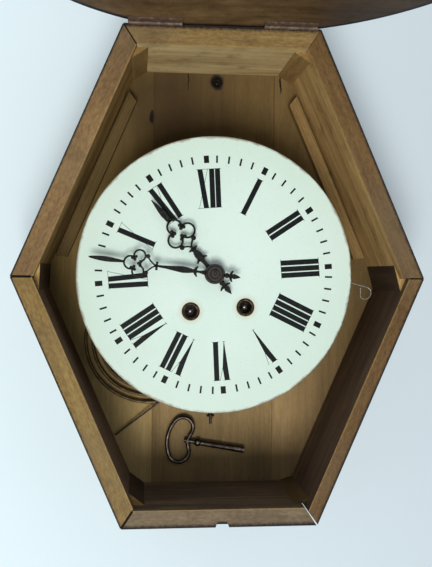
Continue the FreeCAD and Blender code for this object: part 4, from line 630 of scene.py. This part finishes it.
def letter(kind, left, lean, cross_lean):
    """The strokes of one numeral letter, thick ones first, with the hairline serifs across its ends."""
    top, foot = NUMERAL_TOP, NUMERAL_FOOT
    if kind == "I":
        strokes = [stroke(left, top, left + lean, foot, BAR_WIDE)]
        ends = [(left, left + BAR_WIDE), (left + lean, left + lean + BAR_WIDE)]
    elif kind == "V":
        kink_left, kink_right = left + V_LEAN * (top - V_KINK) / (top - foot), left + V_RIGHT
        foot_left, foot_right = left + V_FOOT[0], left + V_FOOT[1]
        strokes = [[(left, top), (left + BAR_WIDE, top), (kink_right, V_KINK), (kink_left, V_KINK)],
                   [(kink_left, V_KINK), (kink_right, V_KINK), (foot_right, foot), (foot_left, foot)],
                   stroke(left + V_SPREAD, top, left + V_HAIR_FOOT, V_KINK, HAIR)]
        ends = [(left, left + BAR_WIDE), (foot_left, foot_right)]
    else:
        strokes = [stroke(left, top, left + cross_lean, foot, BAR_WIDE),
                   stroke(left + CROSS_SPREAD, top, left + CROSS_FOOT, foot, HAIR)]
        ends = [(left, left + CROSS_SPREAD), (left + CROSS_FOOT, left + cross_lean + BAR_WIDE)]
    for (start, stop), v in zip(ends, (top, foot)):
        start_u, wide = start - SERIF, stop - start + 2 * SERIF
        strokes.append(stroke(start_u, v + HAIR / 2, start_u, v - HAIR / 2, wide))
    return strokes


prints = []
for hour, (letters, lefts, lean) in NUMERALS.items():
    cross_lean = CROSS_LEAN.get(hour, 0.0)
    strokes = [quad for kind, left in zip(letters, lefts) for quad in letter(kind, left, lean, cross_lean)]
    prints.append(clockwise(np.array(strokes), 30 * hour))

# The minute track: a square at each five minutes and a narrow bar at each of the others.
# The marks were set by hand: each group of four runs a little late, in degrees at its first and last bar.
TRACK_OUT, TRACK_IN, SQUARE_WIDE, MINUTE_WIDE = 102.25, 95.95, 4.4, 1.55
SQUARE_LATE, BARS_LATE = -0.17, (-0.92, -0.92)
ODD_GROUPS = {8: (-0.9, -0.3), 9: (0.2, 0.5), 10: (1.0, -1.4), 11: (-0.4, -1.2)}

for group in range(12):
    lates = np.linspace(*ODD_GROUPS.get(group, BARS_LATE), 4)
    marks = [(SQUARE_WIDE, SQUARE_LATE)] + [(MINUTE_WIDE, late) for late in lates]
    for step, (wide, late) in enumerate(marks):
        mark = stroke(-wide / 2, TRACK_OUT, -wide / 2, TRACK_IN, wide)
        prints.append(clockwise([mark], 30 * group + 6 * step + late))

quads = on_dial(np.concatenate(prints) + PRINT_SHIFT)
# Fired black enamel: nearly black, a little uneven, with a soft shine.
enamel, add, shader, place = start_material("fired_black_enamel", shine=0.12)
mottle = add("TexNoise", [place, blots(3.33), 3.0])
tone = add("ValToRGB", [mottle], stops=((0.3, "#090B0C"), (0.6, "#0F1213"), (0.8, "#1C1F20")))
rough = add("MapRange", [mottle, 0.0, 1.0, 0.3, 0.6])
fill(shader, {"Base Color": tone, "Roughness": rough})
print_piece = make_piece("hour_numerals_and_minute_track",
                         *slabs(quads, DIAL_FRONT + PAINT / 2, DIAL_FRONT - PAINT), enamel, sharp_above=20)
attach(print_piece, "case")

# The winding eyelets: turned brass, flanged at both ends, with a rounded front lip that has gone brown. The
# profile goes by radius and depth behind the dial's face.
EYELET = np.array(((4.9, 6.8), (8.0, 6.8), (8.0, 6.0), (7.0, 6.0), (7.0, 0.0), (7.8, 0.0), (7.75, -0.35),
                   (7.4, -0.65), (6.9, -0.8), (5.9, -0.7), (5.2, -0.4), (4.9, 0.0)))

# Turned brass gone nearly black with old oil: brown with a thin bright line on the lip.
brown_brass = metal("browned_turned_brass", ("#17110C", "#2C2115", "#5C4A2E"), (0.3, 0.5), 2.5, metallic=0.8)
shells = [lathe(EYELET + (0.0, DIAL_FRONT), at, ring=True) for at in on_dial(WINDING_AT)]
rings = make_piece("winding_eyelet_rings", *joined(shells), brown_brass)
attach(rings, "case")
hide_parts("winding_eyelets")

# The winding squares end in a small worn dome that catches the light deep inside each eyelet.
TIP_Y, TIP_R, TIP_HIGH = -71.0, 1.5, 0.7

# Steel rubbed bright by the key: pale grey with a clear shine.
worn_steel = metal("worn_steel", ("#6E6760", "#9A938A", "#BFB8AE"), (0.2, 0.35), 1.5)
slope = np.linspace(0, np.pi / 2, 8)[:-1]
dome = np.stack([TIP_R * np.cos(slope), TIP_Y - TIP_HIGH * np.sin(slope)], -1)
for train, at in zip(("going", "strike"), on_dial(WINDING_AT)):
    tip = make_piece(train + "_winding_square_tip", *lathe(dome, at, sides=24), worn_steel)
    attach(tip, train + "_winding_arbor")

# The hands: sawn and pierced sheet steel, bronzed black-brown. Each has a leaf or spear tip, an open trefoil
# with small fleurons at its cusps, a splayed neck with beads, a leaf stem and an arrow tail.
# They are drawn pointing up with their back at y 0, and the hub's profile goes by radius and y.
HAND_CENTRE, HAND_FRONT, HAND_BEVEL = (-1.53, 0.92), -1.0, 0.18
MINUTE_Y, MINUTE_AT, HOUR_Y, HOUR_AT = -86.5, 281.9, -82.5, 323.4
HUB = ((8.6, 0.0), (8.6, -0.8), (8.4, -1.0), (7.2, -1.0), (6.9, -0.7), (6.3, -0.7), (6.0, -1.0), (4.4, -1.0),
       (4.2, -0.7), (3.6, -0.7), (3.4, -1.0), (2.6, -1.0))


def bar(path, widths):
    """A flat bar along a path, of one width or several: across it go half the width either way, at the back,
    up to a bevel at the front, and then in by the bevel."""
    half = np.full(len(path), widths)[:, None] / 2
    inner = np.maximum(half - HAND_BEVEL, 0.3 * half)
    offsets = np.concatenate([-half, -half, -inner, inner, half, half], 1)
    bevelled = HAND_FRONT + HAND_BEVEL
    return sweep(path, offsets, np.array([0.0, bevelled, HAND_FRONT, HAND_FRONT, bevelled, 0.0]))


def mirrored(shells):
    """Shells and their mirror images across the hand's own middle line, faces turned outwards again."""
    flip = np.array([-1.0, 1.0, 1.0])
    return shells + [(points * flip, [face[::-1] for face in faces]) for points, faces in shells]


def place_hand(shells, y, degrees):
    """Puts a hand that is drawn about its own hub onto the arbor at a level, turned to its time."""
    points, faces = joined(shells)
    plan = on_dial(clockwise(points[:, [0, 2]], degrees) + HAND_CENTRE)
    return np.stack([plan[:, 0], y + points[:, 1], plan[:, 1]], -1), faces


def bead(at, radius):
    """A small round boss with a rounded front, standing on a bar."""
    profile = [(radius, 0.0), (radius, HAND_FRONT + 0.3), (radius * 0.85, HAND_FRONT),
               (radius * 0.4, HAND_FRONT - 0.15)]
    return lathe(profile, at, sides=20)


def fleuron(root, way, size):
    """Three round lobes of a size about a root, joined by a short bar: one ahead in its way and one to each
    side."""
    ahead_u, ahead_v = math.sin(math.radians(way)), math.cos(math.radians(way))
    root, ahead_way, side_way = np.array(root), np.array([ahead_u, ahead_v]), np.array([ahead_v, -ahead_u])
    lobes = root + size * np.array([0.95 * ahead_way, 0.85 * side_way, -0.85 * side_way])
    stalk = bar(np.linspace(root - 0.4 * size * ahead_way, lobes[0], 3), 0.9 * size)
    return [stalk] + [bead(lobe, 0.72 * size) for lobe in lobes]


def trefoil(front_ring, side_ring, rear_v, line, bud):
    """An open trefoil: a front arc, and a side arc with its mirror image, which meet the front arc at two
    cusps and come near each other at the rear. A fleuron points inwards from each cusp and from the rear."""
    (front_v, front_r), (side_u, side_v, side_r) = front_ring, side_ring
    apart = math.hypot(side_u, side_v - front_v)
    toward = math.degrees(math.atan2(side_u, side_v - front_v))
    front_half = math.degrees(math.acos((front_r ** 2 + apart ** 2 - side_r ** 2) / (2 * front_r * apart)))
    side_half = math.degrees(math.acos((side_r ** 2 + apart ** 2 - front_r ** 2) / (2 * side_r * apart)))
    rear_half = math.degrees(math.acos(min(1.0, side_u / side_r)))
    top = arc((0.0, front_v), front_r, front_half - toward, toward - front_half)
    side = arc((side_u, side_v), side_r, toward - 180 + side_half, 270 - rear_half)
    cusp = top[-1]
    inward = math.degrees(math.atan2(-cusp[0], (2 * side_v + front_v) / 3 - cusp[1]))
    shells = [bar(top, line)] + mirrored([bar(side, line)] + fleuron(cusp, inward, bud))
    return shells + fleuron((0.0, rear_v), 0.0, bud)


def straight(rows):
    """A straight bar up the middle of a hand, from rows of height and half width."""
    heights, halves = np.array(rows, float).T
    return bar(np.stack([0 * heights, heights], -1), 2 * halves)


def barb(root, tip, wide=3.0):
    """A curved thorn from a root on the stem to a blunt tip at its side, with its mirror image."""
    share = np.linspace(0, 1, 7)[:, None]
    path = np.asarray(root) * (1 - share) + np.asarray(tip) * share
    path[:, 1] += 0.5 * np.sin(np.pi * share[:, 0])
    return mirrored([bar(path, wide * (1 - 0.65 * share[:, 0]))])


def splay(low, high, line):
    """An arm that goes on along the stem and then sweeps out to a bead, with its mirror image."""
    share = np.linspace(0, 1, 9)
    path = np.stack([low[0] + (high[0] - low[0]) * share ** 1.6, low[1] + (high[1] - low[1]) * share], -1)
    return mirrored([bar(path, line)])


hub = lathe(HUB, (0.0, 0.0), sides=72)
minute = [straight([(76.6, 0.9), (82, 1.4), (88, 2.0), (92.6, 2.2), (97, 2.0), (101, 1.6), (104.5, 1.1),
                    (106.7, 0.5)]),
          straight([(7.5, 2.0), (9, 2.0), (11.3, 1.4), (13.3, 1.0), (16, 1.1), (18.7, 1.6), (23, 2.4),
                    (27.3, 2.85), (32, 2.4), (40.3, 1.45), (47.4, 1.0), (52.0, 0.9)]),
          straight([(-22.0, 0.2), (-19.5, 1.3), (-16.6, 2.3), (-14.8, 1.5), (-7.5, 1.3)]),
          bead((0.0, -10.3), 2.2)]
minute += trefoil((71.7, 5.4), (6.6, 64.7, 4.8), 63.2, 1.6, 1.9)
minute += mirrored([bead((7.0, 57.8), 1.9)])
minute += splay((0.3, 50.0), (6.8, 58.0), 1.3) + splay((0.6, 49.7), (3.7, 49.4), 2.0)
minute += barb((0.8, 16.8), (4.4, 14.9)) + barb((0.8, -13.8), (4.6, -15.2)) + [hub]
# Bronzed sheet steel: black-brown with a faint warm shine, rubbed brown on the hubs and darker in their
# grooves.
RUBBED_FROM, RUBBED_TO, GROOVE_RADII, GROOVE_HALF = 8.8, 8.0, (6.6, 3.9), 0.5

bronzed = metal("bronzed_sheet_steel", ("#0B0B09", "#131410", "#24231F"), (0.45, 0.65), 3.0, 0.3, shine=0.2)
add, shader = partial(add_node, bronzed.node_tree), bronzed.node_tree.nodes["Principled BSDF"]
black = shader.inputs["Base Color"].links[0].from_socket
from_arbor = from_axis(add, add("TexCoord", out="Object"), on_dial([HAND_CENTRE])[0])
paler_share = add("MapRange", [from_arbor, RUBBED_FROM * MM, RUBBED_TO * MM, 0.0, 0.75])
for groove_r in GROOVE_RADII:
    in_groove = add("Math", [from_arbor, groove_r * MM, GROOVE_HALF * MM], operation="COMPARE")
    paler_share = add("Math", [in_groove, -0.6, paler_share], operation="MULTIPLY_ADD", use_clamp=True)
tone = add("Mix", [paler_share, black, "#3E3937"])
fill(shader, {"Base Color": tone})
minute_hand = make_piece("minute_hand_pierced", *place_hand(minute, MINUTE_Y, MINUTE_AT), bronzed)
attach(minute_hand, "minute_arbor")
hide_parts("minute_hand")

hour = [straight([(57.6, 1.5), (61, 2.2), (66.5, 2.6), (71, 2.2), (75, 1.6), (82.0, 0.35)]),
        straight([(7.5, 1.9), (12, 1.6), (14.8, 1.9), (18, 2.9), (21.2, 3.3), (24, 2.7), (26, 1.7),
                  (31.0, 1.1)]),
        straight([(-22.4, 0.2), (-19.8, 1.4), (-16.8, 2.5), (-14.6, 1.6), (-7.5, 1.4)]),
        bead((0.0, -10.0), 2.4)]
hour += trefoil((52.2, 6.2), (6.7, 43.0, 6.1), 40.6, 1.7, 2.2)
hour += mirrored([bead((6.4, 34.8), 2.1)])
hour += splay((0.4, 30.3), (6.2, 34.8), 1.5) + barb((0.8, 27.2), (4.3, 27.8))
hour += barb((2.0, 17.2), (5.3, 15.7)) + barb((0.9, -13.6), (5.3, -14.7)) + [hub]
hour_hand = make_piece("hour_hand_pierced", *place_hand(hour, HOUR_Y, HOUR_AT), bronzed)
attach(hour_hand, "hour_arbor")
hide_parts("hour_hand")
dress(bronzed, "hand_collet")
dress(brown_brass, "centre_arbor", "rating_nut")

# The hinges: two brass butts at the ends of the top board, browned and a little pink, with bright worn spots.
dress(metal("worn_brown_brass", ("#3E3028", "#5A473A", "#77604E"), (0.45, 0.65), 4.0, metallic=0.3),
      "case_hinge_leaves", "door_hinge_leaves", "hinge_pins")

# The door: a flat oval frame of wood, brown inside and ebonised round its margin and outside. Its far side,
# away from the lamp, is painted darker as painted shade.
DOOR_INNER_Z, DOOR_AT, FLAT = 209.25, np.array((8.0, -313.25, 0.0)), 1000.0
DOOR_HALVES = np.array((180.0, 236.0))
DARK_FROM_X, DARK_TO_X, MARGIN_FROM, MARGIN_TO = 0.02, 0.10, 0.970, 0.985

door_wood, add, shader, place = start_material("brown_inside_ebonised_outside", shine=0.07)
tone, height = grain(add, place, (0.0, 0.0, 0.0), shift=0.7)
mottle = add("TexNoise", [place, blots(18.2), 5.0, 0.7])
half_tone = add("Math", [tone, 0.6, -0.45], operation="MULTIPLY_ADD")
blotched = add("Math", [mottle, 1.3, half_tone], operation="MULTIPLY_ADD")
bare = add("ValToRGB", [blotched], stops=("#3A281C", "#624B30", "#806744"))
beside, rise = [add("SeparateXYZ", [place], out=axis) for axis in "XZ"]
far_side_shade = add("MapRange", [beside, DARK_FROM_X, DARK_TO_X, 0.0, 0.75])
bare = add("Mix", [far_side_shade, bare, "#2A1A10"])
oval = (*DOOR_HALVES * MM, FLAT)
oval_place = add("Mapping", [place, DOOR_AT * MM, (0.0, 0.0, 0.0), oval])
share = add("VectorMath", [oval_place], operation="LENGTH")
margin = add("MapRange", [share, MARGIN_FROM, MARGIN_TO])
brown = add("Mix", [margin, bare, "#17121C"])
black = add("ValToRGB", [tone], stops=((0.0, "#0C0A10"), (0.6, "#17131C"), (1.0, "#2A2038")))
inside = add("Math", [rise, DOOR_INNER_Z * MM + EDGE_SKIN], operation="LESS_THAN")
whole = add("Mix", [inside, black, brown])
finish_wood(add, shader, whole, height, 0.3 * MM, roughness=(0.35, 0.6))
dress(door_wood, "door_frame")

# The moulding: a raised oval of turned and polished pearwood on the door's face. It swells up from its outer
# foot in a quarter of an oval, runs flat, and slopes down to the sight ring, by places out from the sight and
# shares of its height.
MOULD_SEAT, MOULD_HIGH, MOULD_FOOT_IN, SWELL_WIDE, RING_POINTS = 221.25, 15.0, 2.0, 18.0, 256
SIGHT_HALVES = (134.0, 140.0)
SIGHT_SLOPE = np.array(((15.5, 1.0), (14.2, 0.985), (13.1, 0.93), (3.0, 0.267), (3.0, 0.0)))


def oval_ring(wide, long, high):
    """A closed ring about the open door's middle: each section is an oval, given by its two half lengths and
    its height, and the angle goes round it by its cosine across the door and its sine along it."""
    angle = np.linspace(0, 2 * np.pi, RING_POINTS, endpoint=False)
    points = np.stack([DOOR_AT[0] + np.outer(wide, np.cos(angle)), DOOR_AT[1] + np.outer(long, np.sin(angle)),
                       np.outer(high, np.ones(RING_POINTS))], -1)
    return points.reshape(-1, 3), grid_faces(len(wide), RING_POINTS, ring=True)


swell = np.linspace(0, np.pi / 2, 17)
foot_in = MOULD_FOOT_IN + SWELL_WIDE * (1 - np.cos(swell))
wide, long = [np.concatenate([outer - foot_in, sight + SIGHT_SLOPE[:, 0]])
              for outer, sight in zip(DOOR_HALVES, SIGHT_HALVES)]
high = MOULD_SEAT + MOULD_HIGH * np.concatenate([np.sin(swell), SIGHT_SLOPE[:, 1]])
# Ebonised and polished pearwood: black with a faint brown, and a clear soft shine.
ebonised, add, shader, place = start_material(
    "polished_ebonised_wood", shine=0.3, inputs={"Coat Weight": 0.25, "Coat Roughness": 0.12})
tone, height = grain(add, place, (0.0, 0.0, 0.0), shift=0.2)
black = add("ValToRGB", [tone], stops=((0.0, "#0B090A"), (0.6, "#141012"), (1.0, "#241C1A")))
finish_wood(add, shader, black, height, 0.1 * MM, roughness=(0.2, 0.35))
moulding = make_piece("door_oval_moulding", *oval_ring(wide, long, high), ebonised)
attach(moulding, "door")
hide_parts("door_moulding")

# The door's brass and glass: a thin sight ring and a catch, and an oval of old window glass in a rebate.
# Rolled and rubbed brass: even warm yellow with a clear shine.
dress(metal("rubbed_rolled_brass", ("#9C7838", "#B8934C", "#CBA963"), (0.28, 0.42), 1.5),
      "door_bezel", "door_catch")
# Old window glass: clear, with slow waves in its face.
window_glass, add, shader, place = start_material(
    "old_window_glass", roughness=0.02, inputs={"Transmission Weight": 1.0})
waves = add("TexNoise", [place, blots(55.6), 1.0])
tone = add("ValToRGB", [waves], stops=((0.3, "#FAFDFC"), (0.7, "#FDFEFE")))
bump = add("Bump", {"Height": waves, "Distance": 0.4 * MM, "Strength": 0.2})
fill(shader, {"Base Color": tone, "Normal": bump})
dress(window_glass, "door_glass")

# The key: a wire bow brazed to a turned pipe with a square socket, lying loose on the back board.
# Worn steel, handled bare: dark grey-brown, with a soft line of light along the pipe.
dress(metal("worn_key_steel", ("#2E2926", "#4B443E", "#786D61"), (0.26, 0.44), 5.0), "winding_key")
